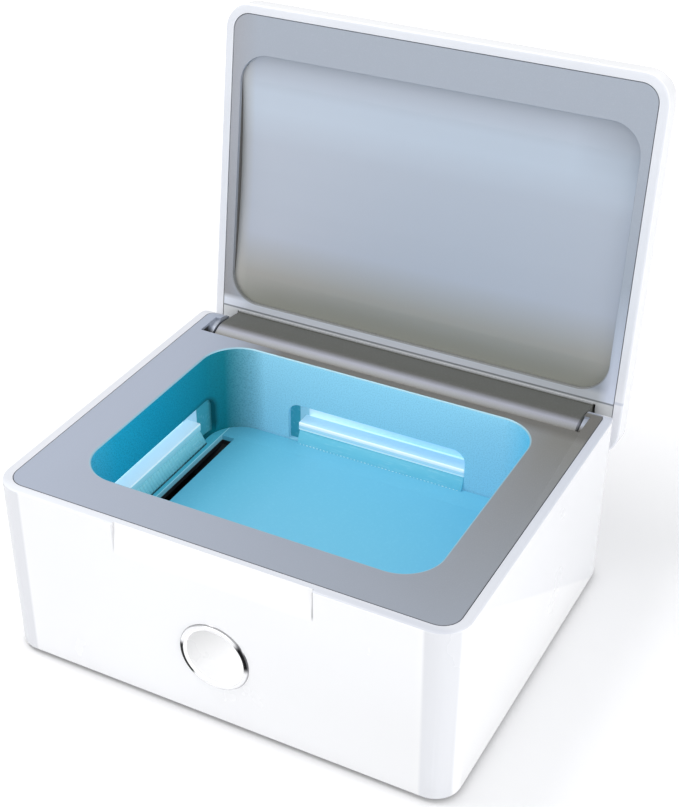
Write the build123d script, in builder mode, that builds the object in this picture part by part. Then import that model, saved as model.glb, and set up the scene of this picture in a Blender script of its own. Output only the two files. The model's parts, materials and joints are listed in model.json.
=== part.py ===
from build123d import *
from math import cos, radians, sin, sqrt, tan
import os

os.makedirs("parts", exist_ok=True)

# Driving dimensions, in millimetres and degrees. +X is the right side, +Y the back, +Z up.
# The origin is the middle of the plane that the four feet stand on.

# Base housing
base_width = 120.0
base_depth = 99.8
base_height = 48.5
foot_height = 0.8
wall_draft = 0.78
corner_radius = 7.25
rim_width = 2.4
wall_thickness = 3.0
bottom_edge_radius = 0.8
rim_edge_radius = 0.5
root_overlap = 0.5
pick_margin = 0.05
fit_gap = 0.15

# Finger scoop in the front wall, below the lid edge
scoop_width = 51.4
scoop_belly = 0.42
scoop_height = 7.7
scoop_depth = 1.0

# Top deck around the drying chamber
deck_thickness = 2.0
deck_side_width = 14.2
deck_front_width = 13.9
deck_back_strip = 2.75
opening_corner_radius = 10.0
deck_edge_radius = 0.4

# Hinge
hinge_setback = 7.0
hinge_drop = 7.65
open_angle = 97.6
barrel_radius = 6.8
ear_width = 7.0
knuckle_width = 1.5
ear_front_reach = 2.0
barrel_end_gap = 0.4
trough_gap = 1.05
trough_wall = 0.9
back_round_relief = 0.2
pin_radius = 1.5
pin_edge = 0.2
pin_length = 11.5
pin_end_clearance = 0.4
bush_wall = 1.1
bush_length = 7.0
barrel_edge = 0.4
running_clearance = 0.04
press_clearance = 0.01
web_back = 3.0
web_bead = 0.5
barrel_screw_inner = 15.0
barrel_screw_outer = 38.0
barrel_boss_radius = 2.8
barrel_screw_length = 5.2
barrel_flange_reach = 1.3
barrel_flange_thickness = 2.0

# Lid
lid_gap = 0.3
lid_thickness = 8.0
lid_top_wall = 2.0
lid_edge_radius = 2.5
lid_rim_width = 2.42
lid_rim_edge_radius = 0.7
liner_post_radius = 2.2
post_inset = 3.0
rib_spacing = 24.0
rib_length = 8.0
liner_thickness = 1.2
liner_recess = 0.1
liner_side_width = 2.68
liner_front_width = 10.38
window_hinge_gap = 10.3
window_corner_radius = 8.0
reflector_wall = 1.0
reflector_flange = 1.0
dish_depth = 2.6
dish_edge_depth = 0.4

# Drying chamber
tub_wall = 1.3
floor_top = 24.4
floor_thickness = 1.5
floor_gap = 0.2
tub_ledge_width = 1.9
tub_ledge_thickness = 1.2
tub_ledge_radius = 3.5
air_slot_width = 3.8
air_slot_length = 50.0
air_slot_offset = 3.2
tab_length = 6.0
side_tab_spacing = 36.0
front_tab_spacing = 44.0
tab_reach = 4.2
tab_thickness = 1.5
tab_root = 0.6
stud_radius = 1.0
stud_length = 3.2
retainer_radius = 2.0
retainer_thickness = 0.5

# Lamp units behind the left wall and the back wall of the chamber
lamp_window_length = 51.8
lamp_window_height = 11.4
lamp_window_radius = 3.5
lamp_recess = 6.0
lamp_housing_wall = 1.0
lamp_bar_height = 5.9
lamp_bar_depth = 4.6
side_socket_length = 6.4
back_socket_length = 3.1
lamp_board_thickness = 0.6
lamp_board_margin = 0.6
lamp_led_size = 3.5
lamp_led_thickness = 0.6
lamp_led_count = 5
lamp_edge_radius = 0.4
lamp_gap = 0.1
lamp_lip_height = 2.3
lamp_lip_depth = 0.4

# Power button
button_height = 20.2
button_ring_radius = 9.2
button_bore_radius = 7.8
button_ring_wall = 0.65
button_ring_stand = 0.5
button_ring_inner_stand = 0.35
button_ring_crown_shift = 0.1
button_sleeve_lip = 0.6
button_cap_gap = 0.2
button_dome = 0.55
button_dome_stand = 0.8
button_cap_wall = 1.2
button_cap_edge = 0.3
button_flange_width = 1.3
button_flange_thickness = 0.8
button_lift = 0.3
button_travel = 0.8
plunger_radius = 1.75
plunger_length = 2.4
stem_radius = 2.4
stem_length = 0.3
switch_size = 6.0
switch_corner = 0.5
switch_depth = 2.6
switch_base = 0.2
plunger_reserve = 0.3
button_board_width = 30.0
button_board_height = 14.0
button_board_thickness = 1.0
button_board_corner = 1.0
button_post_radius = 2.2
button_post_spacing = 24.0
small_screw_radius = 1.0
small_screw_head_radius = 1.9
small_screw_head = 1.0
small_screw_length = 6.0

# Bottom cover, its screws and feet
cover_thickness = 1.6
cover_ledge = 1.2
post_radius = 3.0
front_post_inset_x = 8.5
front_post_inset_y = 9.4
back_post_inset_x = 7.7
back_post_inset_y = 11.9
cover_boss_height = 2.0
cover_boss_wall = 1.1
screw_radius = 1.3
screw_head_radius = 2.4
screw_head_height = 1.6
screw_head_depth = 2.0
screw_length = 12.0
screw_head_edge = 0.4
screw_cross_width = 0.6
screw_cross_length = 2.6
screw_cross_depth = 0.8
foot_radius = 4.5
foot_recess = 0.8
foot_edge = 0.4
foot_inset_x = 18.0
foot_inset_y = 12.4

# Circulation fan
fan_size = 30.0
fan_corner_radius = 2.0
fan_hub_edge = 0.5
fan_thickness = 8.0
fan_bottom = 7.2
fan_bore_radius = 13.6
fan_tip_gap = 0.5
fan_hub_radius = 6.5
fan_hub_wall = 0.8
fan_boss_radius = 4.8
fan_shaft_radius = 0.8
fan_blade_count = 7
fan_blade_thickness = 0.9
fan_blade_pitch = 38.0
fan_strut_width = 2.0
fan_floor = 1.2
fan_boss_height = 5.5
fan_end_gap = 0.3
fan_blade_margin = 1.0
fan_hole_spacing = 24.0
fan_hole_radius = 1.35
fan_screw_radius = 1.2
fan_screw_end_gap = 0.4
fan_screw_bite = 4.0
duct_corner = 0.16
duct_wall = 1.0
duct_flange = 1.2
duct_collar = 1.4
vent_slot_width = 2.0
vent_slot_pitch = 4.0
vent_slot_steps = 2
vent_radius = 12.0

# Electronics
board_length = 58.0
board_depth = 56.0
board_thickness = 1.6
board_height = 5.2
board_corner_radius = 1.5
board_fan_gap = 4.4
board_pitch = 2.0
chip_cells_back = [(7, 13), (21, 12)]
chip_cells_front = [(14, 8)]
inductor_cells = [(25, 16)]
connector_cells_back = [(3, 17), (8, 3)]
connector_cells_front = [(3, 8), (12, 3), (20, 3)]
capacitor_cells = [(15, 4), (15, 8)]
standoff_radius = 2.6
board_hole_inset = 3.5
board_screw_length = 4.0
component_edge = 0.15
chip_size = 7.0
chip_height = 1.2
chip_corner = 0.4
inductor_size = 7.0
inductor_height = 4.0
inductor_corner = 1.4
connector_length = 7.5
connector_width = 4.5
connector_height = 5.0
connector_corner = 0.3
capacitor_radius = 3.0
capacitor_height = 8.0
capacitor_edge = 0.5
jack_screw_gap = 0.8
jack_overhang = 1.8
jack_edge = 0.4
jack_width = 9.0
jack_height = 11.0
jack_length = 12.6
jack_nose_radius = 4.2
jack_nose_recess = 0.4
jack_bore_radius = 3.0
jack_bore_depth = 9.0
jack_pin_radius = 1.0
jack_axis_height = 6.4
heater_length = 52.0
heater_depth = 46.0
heater_thickness = 0.6
heater_corner_radius = 3.0
cutout_length = 9.0
cutout_width = 5.0
cutout_height = 3.0
cutout_corner = 0.8

# Lid catch and lid sensor
magnet_radius = 3.0
magnet_thickness = 2.0
magnet_inset_x = 20.0
magnet_inset_y = 6.9
magnet_cup_wall = 0.7
sensor_length = 12.0
sensor_width = 3.0
sensor_height = 2.4
sensor_corner = 0.4
sensor_rail_length = 7.2
sensor_x = 8.0
sensor_magnet_length = 6.0

# Levels and outlines that follow from the driving dimensions
shell_bottom = foot_height
rim_top = foot_height + base_height
deck_bottom = rim_top - deck_thickness
half_width = base_width / 2
half_depth = base_depth / 2
draft_slope = tan(radians(wall_draft))
bottom_inset = base_height * draft_slope
cavity_width = base_width - 2 * wall_thickness
cavity_depth = base_depth - 2 * wall_thickness
cavity_radius = corner_radius - wall_thickness
pocket_width = base_width - 2 * rim_width
pocket_depth = base_depth - 2 * rim_width
pocket_radius = corner_radius - rim_width
hinge_y = half_depth - hinge_setback
hinge_z = rim_top - hinge_drop
trough_radius = barrel_radius + trough_gap
trough_outer_radius = trough_radius + trough_wall
trough_edge_y = hinge_y - trough_radius
ear_inner_x = half_width - ear_width
barrel_length = 2 * (ear_inner_x - barrel_end_gap)
opening_width = base_width - 2 * deck_side_width
chamber_front_y = -half_depth + deck_front_width
chamber_back_y = trough_edge_y - deck_back_strip
opening_depth = chamber_back_y - chamber_front_y
opening_centre_y = (chamber_front_y + chamber_back_y) / 2
magnet_x = half_width - magnet_inset_x
magnet_y = -half_depth + magnet_inset_y
bush_radius = pin_radius + running_clearance + bush_wall
back_round = hinge_setback - back_round_relief


def half_width_at(height):
    return half_width - (rim_top - height) * draft_slope


def half_depth_at(height):
    return half_depth - (rim_top - height) * draft_slope


trough_end_y = half_depth_at(hinge_z - trough_outer_radius) - wall_thickness - fit_gap
notch_bottom = hinge_z - sqrt(trough_radius**2 - (trough_end_y - hinge_y) ** 2)
pin_outer_x = half_width_at(hinge_z) - wall_thickness - fit_gap - pin_end_clearance
pin_inner_x = pin_outer_x - pin_length
button_tilt = radians(wall_draft)
button_plane = Plane(
    origin=(0, -half_depth_at(button_height), button_height),
    x_dir=(1, 0, 0),
    z_dir=(0, -cos(button_tilt), -sin(button_tilt)),
)
button_sleeve_radius = button_bore_radius + button_ring_wall
button_sleeve_depth = wall_thickness + button_sleeve_lip
button_flange_front = button_sleeve_depth + button_lift
button_flange_back = button_flange_front + button_flange_thickness
stem_end = button_flange_back + stem_length
switch_front = stem_end + button_travel + plunger_reserve
switch_back = switch_front + switch_depth
button_board_back = switch_back + button_board_thickness
front_post = (half_width - front_post_inset_x, -half_depth + front_post_inset_y)
back_post = (half_width - back_post_inset_x, half_depth - back_post_inset_y)
post_positions = [(side * x, y) for side in (-1, 1) for x, y in (front_post, back_post)]
foot_x = half_width - foot_inset_x
foot_y = half_depth - foot_inset_y
foot_positions = [(x, y) for x in (-foot_x, foot_x) for y in (-foot_y, foot_y)]
cover_top = shell_bottom + cover_thickness
cover_boss_top = cover_top + cover_boss_height
board_bottom = board_height
board_top = board_bottom + board_thickness
jack_axis_z = board_top + jack_axis_height
jack_back_wall = half_depth_at(jack_axis_z)
jack_body_back = jack_back_wall - wall_thickness - fit_gap
floor_bottom = floor_top - floor_thickness
tub_bottom = floor_bottom - tub_ledge_thickness
tub_width = opening_width + 2 * tub_wall
tub_depth = opening_depth + 2 * tub_wall
tub_radius = opening_corner_radius + tub_wall
air_slot_x = opening_width / 2 - air_slot_offset - air_slot_width / 2
fan_top = fan_bottom + fan_thickness
fan_centre_x = -air_slot_x
board_left = fan_centre_x + fan_size / 2 + board_fan_gap
board_right = board_left + board_length
board_back = jack_body_back - jack_overhang
board_front = board_back - board_depth
board_centre_x = (board_left + board_right) / 2
board_centre_y = (board_front + board_back) / 2
jack_x = board_right - board_hole_inset - small_screw_head_radius - jack_screw_gap - jack_width / 2

# Outline of the base, drafted inwards towards the bottom
with BuildPart() as base_shell:
    with BuildSketch(Plane.XY.offset(shell_bottom)):
        RectangleRounded(
            base_width - 2 * bottom_inset, base_depth - 2 * bottom_inset, corner_radius - bottom_inset
        )
    with BuildSketch(Plane.XY.offset(rim_top)):
        RectangleRounded(base_width, base_depth, corner_radius)
    loft(ruled=True)
    fillet(base_shell.edges().group_by(Axis.Z)[0], bottom_edge_radius)
    fillet(base_shell.edges().group_by(Axis.Z)[-1], rim_edge_radius)
    # cavity, drafted with the walls
    with BuildSketch(Plane.XY.offset(shell_bottom)):
        RectangleRounded(
            cavity_width - 2 * bottom_inset, cavity_depth - 2 * bottom_inset, cavity_radius - bottom_inset
        )
    with BuildSketch(Plane.XY.offset(rim_top)):
        RectangleRounded(cavity_width, cavity_depth, cavity_radius)
    loft(ruled=True, mode=Mode.SUBTRACT)
    # seats for the deck and for the bottom cover
    with BuildSketch(Plane.XY.offset(deck_bottom)):
        RectangleRounded(pocket_width, pocket_depth, pocket_radius)
    extrude(amount=deck_thickness, mode=Mode.SUBTRACT)
    with BuildSketch(Plane.XY.offset(shell_bottom)):
        RectangleRounded(
            cavity_width - 2 * bottom_inset + 2 * cover_ledge,
            cavity_depth - 2 * bottom_inset + 2 * cover_ledge,
            cavity_radius - bottom_inset + cover_ledge,
        )
    extrude(amount=cover_thickness, mode=Mode.SUBTRACT)
    # back wall cut down between the hinge ears, for the barrel
    with BuildSketch(Plane.XZ.offset(-half_depth)):
        with Locations((0, (notch_bottom + rim_top) / 2 + 1)):
            Rectangle(2 * ear_inner_x, rim_top - notch_bottom + 2)
    extrude(amount=2 * wall_thickness, both=True, mode=Mode.SUBTRACT)
    # top back edge rounded so that the lid clears it
    with BuildSketch(Plane.YZ):
        with Locations((half_depth - back_round, rim_top - back_round)):
            Rectangle(2 * back_round, 2 * back_round, align=(Align.MIN, Align.MIN))
            Circle(back_round, mode=Mode.SUBTRACT)
    extrude(amount=base_width, both=True, mode=Mode.SUBTRACT)
    # finger scoop, deepest at the rim
    scoop_foot = rim_top - scoop_height
    with BuildSketch(Plane.YZ):
        with BuildLine():
            scoop_curve = ThreePointArc(
                (-half_depth_at(scoop_foot), scoop_foot),
                (-half_depth + scoop_depth * scoop_belly, rim_top - scoop_height / 2),
                (-half_depth + scoop_depth, rim_top + root_overlap),
            )
            Polyline(
                scoop_curve @ 1,
                (-half_depth - scoop_depth, rim_top + root_overlap),
                (-half_depth - scoop_depth, scoop_foot),
                scoop_curve @ 0,
            )
        make_face()
    extrude(amount=scoop_width / 2, both=True, mode=Mode.SUBTRACT)
    # bore for the button ring, and the posts that carry the button board
    with BuildSketch(button_plane):
        Circle(button_sleeve_radius + fit_gap)
    extrude(amount=-2 * wall_thickness, mode=Mode.SUBTRACT)
    with BuildSketch(button_plane.offset(-wall_thickness + root_overlap)):
        with GridLocations(button_post_spacing, 0, 2, 1):
            Circle(button_post_radius)
    extrude(amount=-(switch_back - wall_thickness + root_overlap))
    with BuildSketch(button_plane.offset(-switch_back)):
        with GridLocations(button_post_spacing, 0, 2, 1):
            Circle(small_screw_radius + press_clearance)
    extrude(amount=small_screw_length, mode=Mode.SUBTRACT)
    # hole for the power socket
    with BuildSketch(Plane.XZ.offset(-half_depth)):
        with Locations((jack_x, jack_axis_z)):
            Circle(jack_nose_radius + fit_gap)
    extrude(amount=2 * wall_thickness, both=True, mode=Mode.SUBTRACT)
base_shell.part.label = "base_shell"
export_step(base_shell.part, "parts/base_shell.step")

# Silver deck with the chamber opening, the hinge trough and ears, and the screw posts
with BuildPart() as deck_frame:
    with BuildSketch(Plane.XY.offset(deck_bottom)):
        RectangleRounded(pocket_width - 2 * fit_gap, pocket_depth - 2 * fit_gap, pocket_radius - fit_gap)
    extrude(amount=deck_thickness)
    # hinge ears under the two back corners
    with BuildSketch(Plane.XY.offset(notch_bottom - 1)):
        RectangleRounded(
            2 * (half_width_at(notch_bottom) - wall_thickness - fit_gap),
            2 * (half_depth_at(notch_bottom) - wall_thickness - fit_gap),
            cavity_radius - fit_gap,
        )
        with Locations((0, -half_depth)):
            Rectangle(base_width, 2 * (half_depth + trough_edge_y - ear_front_reach), mode=Mode.SUBTRACT)
        Rectangle(2 * ear_inner_x, base_depth, mode=Mode.SUBTRACT)
    extrude(amount=deck_bottom - notch_bottom + 1)
    # chamber opening
    with BuildSketch(Plane.XY.offset(rim_top)):
        with Locations((0, opening_centre_y)):
            RectangleRounded(opening_width, opening_depth, opening_corner_radius)
    extrude(amount=-deck_thickness, mode=Mode.SUBTRACT)
    fillet(
        deck_frame.edges()
        .filter_by_position(Axis.Z, rim_top - pick_margin, rim_top + pick_margin)
        .filter_by_position(Axis.X, -opening_width / 2 - pick_margin, opening_width / 2 + pick_margin)
        .filter_by_position(Axis.Y, chamber_front_y - pick_margin, chamber_back_y + pick_margin),
        deck_edge_radius,
    )
    # screw posts down to the bottom cover
    with BuildSketch(Plane.XY.offset(cover_boss_top)):
        with Locations(*post_positions):
            Circle(post_radius)
    extrude(amount=deck_bottom - cover_boss_top + root_overlap)
    # trough that the barrel turns in
    with BuildSketch(Plane.YZ):
        with Locations((hinge_y, hinge_z)):
            Circle(trough_outer_radius)
        with Locations((hinge_y - trough_outer_radius, hinge_z)):
            Rectangle(
                trough_outer_radius, deck_bottom - hinge_z + root_overlap, align=(Align.MIN, Align.MIN)
            )
    extrude(amount=ear_inner_x, both=True)
    with BuildSketch(Plane.YZ):
        with Locations((hinge_y, hinge_z)):
            Circle(trough_radius)
        with Locations((trough_edge_y, hinge_z)):
            Rectangle(2 * base_depth, base_height, align=(Align.MIN, Align.MIN))
        with Locations((trough_end_y, hinge_z)):
            Rectangle(base_depth, 2 * base_height, align=(Align.MIN, Align.CENTER))
    extrude(amount=ear_inner_x, both=True, mode=Mode.SUBTRACT)
    # round knuckles on the ears, in line with the barrel
    for side in (-1, 1):
        with BuildSketch(Plane.YZ.offset(side * ear_inner_x)):
            with Locations((trough_edge_y, hinge_z)):
                Rectangle(trough_radius, 2 * hinge_drop, align=(Align.MIN, Align.MIN))
            with Locations((hinge_y, hinge_z)):
                Circle(barrel_radius, mode=Mode.SUBTRACT)
        extrude(amount=side * knuckle_width, mode=Mode.SUBTRACT)
    # same rounded back edge as the shell
    with BuildSketch(Plane.YZ):
        with Locations((half_depth - back_round, rim_top - back_round)):
            Rectangle(2 * back_round, 2 * back_round, align=(Align.MIN, Align.MIN))
            Circle(back_round, mode=Mode.SUBTRACT)
    extrude(amount=base_width, both=True, mode=Mode.SUBTRACT)
    # pin holes through the ears
    with BuildSketch(Plane.YZ):
        with Locations((hinge_y, hinge_z)):
            Circle(pin_radius + press_clearance)
    extrude(amount=base_width, both=True, mode=Mode.SUBTRACT)
    with BuildSketch(Plane.XY.offset(cover_boss_top)):
        with Locations(*post_positions):
            Circle(screw_radius + press_clearance)
    extrude(amount=screw_length, mode=Mode.SUBTRACT)
    # studs for the tub tabs, cups for the catch magnets, rails for the lid sensor
    side_tab_x = (tub_width + tab_reach) / 2
    front_tab_y = opening_centre_y - (tub_depth + tab_reach) / 2
    side_tabs = [
        (side * side_tab_x, opening_centre_y + end * side_tab_spacing / 2)
        for side in (-1, 1)
        for end in (-1, 1)
    ]
    front_tabs = [(side * front_tab_spacing / 2, front_tab_y) for side in (-1, 1)]
    tab_positions = side_tabs + front_tabs
    with BuildSketch(Plane.XY.offset(deck_bottom - stud_length)):
        with Locations(*tab_positions):
            Circle(stud_radius)
    extrude(amount=stud_length + root_overlap)
    with BuildSketch(Plane.XY.offset(deck_bottom - magnet_thickness)):
        with Locations((-magnet_x, magnet_y), (magnet_x, magnet_y)):
            Circle(magnet_radius + fit_gap + magnet_cup_wall)
            Circle(magnet_radius + fit_gap, mode=Mode.SUBTRACT)
    extrude(amount=magnet_thickness + root_overlap)
    with BuildSketch(Plane.XY.offset(deck_bottom - sensor_height)):
        with Locations((sensor_x, magnet_y)):
            Rectangle(sensor_rail_length, sensor_width + 2 * fit_gap + 2 * magnet_cup_wall)
            Rectangle(sensor_rail_length, sensor_width + 2 * fit_gap, mode=Mode.SUBTRACT)
    extrude(amount=sensor_height + root_overlap)
deck_frame.part.label = "deck_frame"
export_step(deck_frame.part, "parts/deck_frame.step")

# Bottom cover with bosses for its screws, standoffs for the board and the fan, and air slots
fan_hole_positions = [
    (fan_centre_x + side * fan_hole_spacing / 2, end * fan_hole_spacing / 2)
    for side in (-1, 1)
    for end in (-1, 1)
]
board_hole_positions = [
    (
        board_centre_x + side * (board_length / 2 - board_hole_inset),
        board_centre_y + end * (board_depth / 2 - board_hole_inset),
    )
    for side in (-1, 1)
    for end in (-1, 1)
]
with BuildPart() as bottom_cover:
    with BuildSketch(Plane.XY.offset(shell_bottom)):
        RectangleRounded(
            cavity_width - 2 * bottom_inset + 2 * (cover_ledge - fit_gap),
            cavity_depth - 2 * bottom_inset + 2 * (cover_ledge - fit_gap),
            cavity_radius - bottom_inset + cover_ledge - fit_gap,
        )
    extrude(amount=cover_thickness)
    with BuildSketch(Plane.XY.offset(cover_top)):
        with Locations(*post_positions):
            Circle(screw_head_radius + fit_gap + cover_boss_wall)
    extrude(amount=cover_boss_height)
    with BuildSketch(Plane.XY.offset(cover_top)):
        with Locations(*board_hole_positions):
            Circle(standoff_radius)
    extrude(amount=board_bottom - cover_top)
    with BuildSketch(Plane.XY.offset(cover_top)):
        with Locations(*fan_hole_positions):
            Circle(standoff_radius)
    extrude(amount=fan_bottom - cover_top)
    # screw holes with sunk heads
    with BuildSketch(Plane.XY.offset(shell_bottom)):
        with Locations(*post_positions):
            Circle(screw_head_radius + fit_gap)
    extrude(amount=screw_head_depth, mode=Mode.SUBTRACT)
    with BuildSketch(Plane.XY.offset(shell_bottom)):
        with Locations(*post_positions):
            Circle(screw_radius + fit_gap)
    extrude(amount=cover_thickness + cover_boss_height, mode=Mode.SUBTRACT)
    with BuildSketch(Plane.XY.offset(fan_bottom)):
        with Locations(*fan_hole_positions):
            Circle(fan_screw_radius + press_clearance)
    extrude(amount=-fan_screw_bite, mode=Mode.SUBTRACT)
    with BuildSketch(Plane.XY.offset(board_bottom)):
        with Locations(*board_hole_positions):
            Circle(small_screw_radius + press_clearance)
    extrude(amount=board_thickness - board_screw_length - press_clearance, mode=Mode.SUBTRACT)
    # seats for the feet
    with BuildSketch(Plane.XY.offset(shell_bottom)):
        with Locations(*foot_positions):
            Circle(foot_radius + fit_gap)
    extrude(amount=foot_recess, mode=Mode.SUBTRACT)
    # air slots under the fan, as long as the fan's bore is wide there
    for step in range(-vent_slot_steps, vent_slot_steps + 1):
        slot_length = 2 * sqrt(vent_radius**2 - (step * vent_slot_pitch) ** 2)
        with BuildSketch(Plane.XY.offset(shell_bottom)):
            with Locations(*[(side * fan_centre_x + step * vent_slot_pitch, 0) for side in (-1, 1)]):
                SlotOverall(slot_length, vent_slot_width, rotation=90)
        extrude(amount=cover_thickness, mode=Mode.SUBTRACT)
bottom_cover.part.label = "bottom_cover"
export_step(bottom_cover.part, "parts/bottom_cover.step")

with BuildPart() as rubber_feet:
    with BuildSketch(Plane.XY):
        with Locations(*foot_positions):
            Circle(foot_radius)
    extrude(amount=foot_height + foot_recess)
    chamfer(rubber_feet.edges().group_by(Axis.Z)[0], foot_edge)
rubber_feet.part.label = "rubber_feet"
export_step(rubber_feet.part, "parts/rubber_feet.step")

with BuildPart() as bottom_screws:
    screw_seat = shell_bottom + screw_head_depth
    with BuildSketch(Plane.XY.offset(screw_seat)):
        with Locations(*post_positions):
            Circle(screw_head_radius)
    extrude(amount=-screw_head_height)
    chamfer(bottom_screws.edges().group_by(Axis.Z)[0], screw_head_edge)
    with BuildSketch(Plane.XY.offset(screw_seat)):
        with Locations(*post_positions):
            Circle(screw_radius)
    extrude(amount=screw_length)
    with BuildSketch(Plane.XY.offset(screw_seat - screw_head_height)):
        with Locations(*post_positions):
            Rectangle(screw_cross_width, screw_cross_length)
            Rectangle(screw_cross_length, screw_cross_width)
    extrude(amount=screw_cross_depth, mode=Mode.SUBTRACT)
bottom_screws.part.label = "bottom_screws"
export_step(bottom_screws.part, "parts/bottom_screws.step")


# Arched opening of a lamp unit, drawn in the plane of the chamber wall, on its lower edge
def lamp_window_sketch(margin=0.0):
    with BuildSketch(mode=Mode.PRIVATE) as outline:
        with Locations((0, (lamp_window_height + margin) / 2)):
            Rectangle(lamp_window_length + 2 * margin, lamp_window_height + margin)
        fillet(outline.vertices().group_by(Axis.Y)[-1], lamp_window_radius + margin)
    return outline.sketch


side_wall_plane = Plane(origin=(-opening_width / 2, 0, floor_top), x_dir=(0, 1, 0), z_dir=(1, 0, 0))
back_wall_plane = Plane(origin=(0, chamber_back_y, floor_top), x_dir=(-1, 0, 0), z_dir=(0, 1, 0))

# Chamber tub hung under the deck, with a ledge for the floor and windows for the lamps
with BuildPart() as chamber_tub:
    with BuildSketch(Plane.XY.offset(tub_bottom)):
        with Locations((0, opening_centre_y)):
            RectangleRounded(tub_width, tub_depth, tub_radius)
    extrude(amount=deck_bottom - tub_bottom)
    with BuildSketch(Plane.XY.offset(floor_bottom)):
        with Locations((0, opening_centre_y)):
            RectangleRounded(opening_width, opening_depth, opening_corner_radius)
    extrude(amount=deck_bottom - floor_bottom, mode=Mode.SUBTRACT)
    with BuildSketch(Plane.XY.offset(tub_bottom)):
        with Locations((0, opening_centre_y)):
            RectangleRounded(
                opening_width - 2 * tub_ledge_width,
                opening_depth - 2 * tub_ledge_width,
                tub_ledge_radius,
            )
    extrude(amount=tub_ledge_thickness, mode=Mode.SUBTRACT)
    # tabs with holes for the deck studs
    with BuildSketch(Plane.XY.offset(deck_bottom - tab_thickness)):
        with Locations(*side_tabs):
            Rectangle(tab_reach + tab_root, tab_length)
        with Locations(*front_tabs):
            Rectangle(tab_length, tab_reach + tab_root)
    extrude(amount=tab_thickness)
    with BuildSketch(Plane.XY.offset(deck_bottom)):
        with Locations(*tab_positions):
            Circle(stud_radius + fit_gap)
        with Locations((0, opening_centre_y)):
            RectangleRounded(opening_width, opening_depth, opening_corner_radius)
    extrude(amount=-tab_thickness, mode=Mode.SUBTRACT)
    # lamp windows in the left wall and the back wall
    for wall_plane in (side_wall_plane, back_wall_plane):
        with BuildSketch(wall_plane):
            add(lamp_window_sketch())
        extrude(amount=2 * tub_wall, both=True, mode=Mode.SUBTRACT)
chamber_tub.part.label = "chamber_tub"
export_step(chamber_tub.part, "parts/chamber_tub.step")

with BuildPart() as tub_retainers:
    with BuildSketch(Plane.XY.offset(deck_bottom - tab_thickness)):
        with Locations(*tab_positions):
            Circle(retainer_radius)
            Circle(stud_radius + press_clearance, mode=Mode.SUBTRACT)
    extrude(amount=-retainer_thickness)
tub_retainers.part.label = "tub_retainers"
export_step(tub_retainers.part, "parts/tub_retainers.step")

with BuildPart() as floor_plate:
    with BuildSketch(Plane.XY.offset(floor_bottom)):
        with Locations((0, opening_centre_y)):
            RectangleRounded(
                opening_width - 2 * floor_gap, opening_depth - 2 * floor_gap, opening_corner_radius - floor_gap
            )
        with Locations((-air_slot_x, 0), (air_slot_x, 0)):
            Rectangle(air_slot_width, air_slot_length, mode=Mode.SUBTRACT)
    extrude(amount=floor_thickness)
floor_plate.part.label = "floor_plate"
export_step(floor_plate.part, "parts/floor_plate.step")

with BuildPart() as film_heater:
    with BuildSketch(Plane.XY.offset(floor_bottom)):
        with Locations((0, opening_centre_y)):
            RectangleRounded(heater_length, heater_depth, heater_corner_radius)
    extrude(amount=-heater_thickness)
film_heater.part.label = "film_heater"
export_step(film_heater.part, "parts/film_heater.step")

with BuildPart() as thermal_cutout:
    with BuildSketch(Plane.XY.offset(floor_bottom - heater_thickness)):
        with Locations((0, opening_centre_y)):
            RectangleRounded(cutout_length, cutout_width, cutout_corner)
    extrude(amount=-cutout_height)
thermal_cutout.part.label = "thermal_cutout"
export_step(thermal_cutout.part, "parts/thermal_cutout.step")


# Room that the hinge trough takes from the lamp units
def trough_room(clearance):
    with BuildPart() as room:
        with BuildSketch(Plane.YZ):
            with Locations((hinge_y, hinge_z)):
                Circle(trough_outer_radius + clearance)
        extrude(amount=half_width, both=True)
    return room.part


# Block with the outline of a lamp window, cut back round the hinge trough
def lamp_block(plane, outward, near, far, margin, trough_clearance):
    with BuildPart() as block:
        with BuildSketch(plane.offset(outward * near)):
            add(lamp_window_sketch(margin))
            if margin > 0:
                with Locations((0, -margin)):
                    Rectangle(
                        lamp_window_length + 2 * margin, 2 * margin, align=(Align.CENTER, Align.MIN)
                    )
        extrude(amount=outward * (far - near))
        add(trough_room(trough_clearance), mode=Mode.SUBTRACT)
    return block.part


# A lamp unit is a tray behind the wall with a socket at one end, a clear bar flush with the wall,
# and a board of diodes. Its plane has the length of the wall along X and its height along Y.
def lamp_tray(plane, outward, socket_length):
    back = lamp_recess + lamp_housing_wall
    hollow = lamp_block(plane, outward, 0, lamp_recess, 0.0, lamp_gap + lamp_housing_wall)
    with BuildPart() as tray:
        add(lamp_block(plane, outward, tub_wall, back, lamp_housing_wall, lamp_gap))
        add(hollow, mode=Mode.SUBTRACT)
        with BuildSketch(plane.offset(outward * tub_wall)):
            add(lamp_window_sketch())
            with Locations((lamp_window_length / 2, 0)):
                Rectangle(
                    socket_length, lamp_window_height, align=(Align.MAX, Align.MIN), mode=Mode.INTERSECT
                )
        extrude(amount=outward * (back - tub_wall))
        add(trough_room(lamp_gap), mode=Mode.SUBTRACT)
    return tray.part


lamp_room = lamp_housing_wall + 2 * lamp_gap


def bar_length(socket_length):
    return lamp_window_length - socket_length - 2 * lamp_gap


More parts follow.
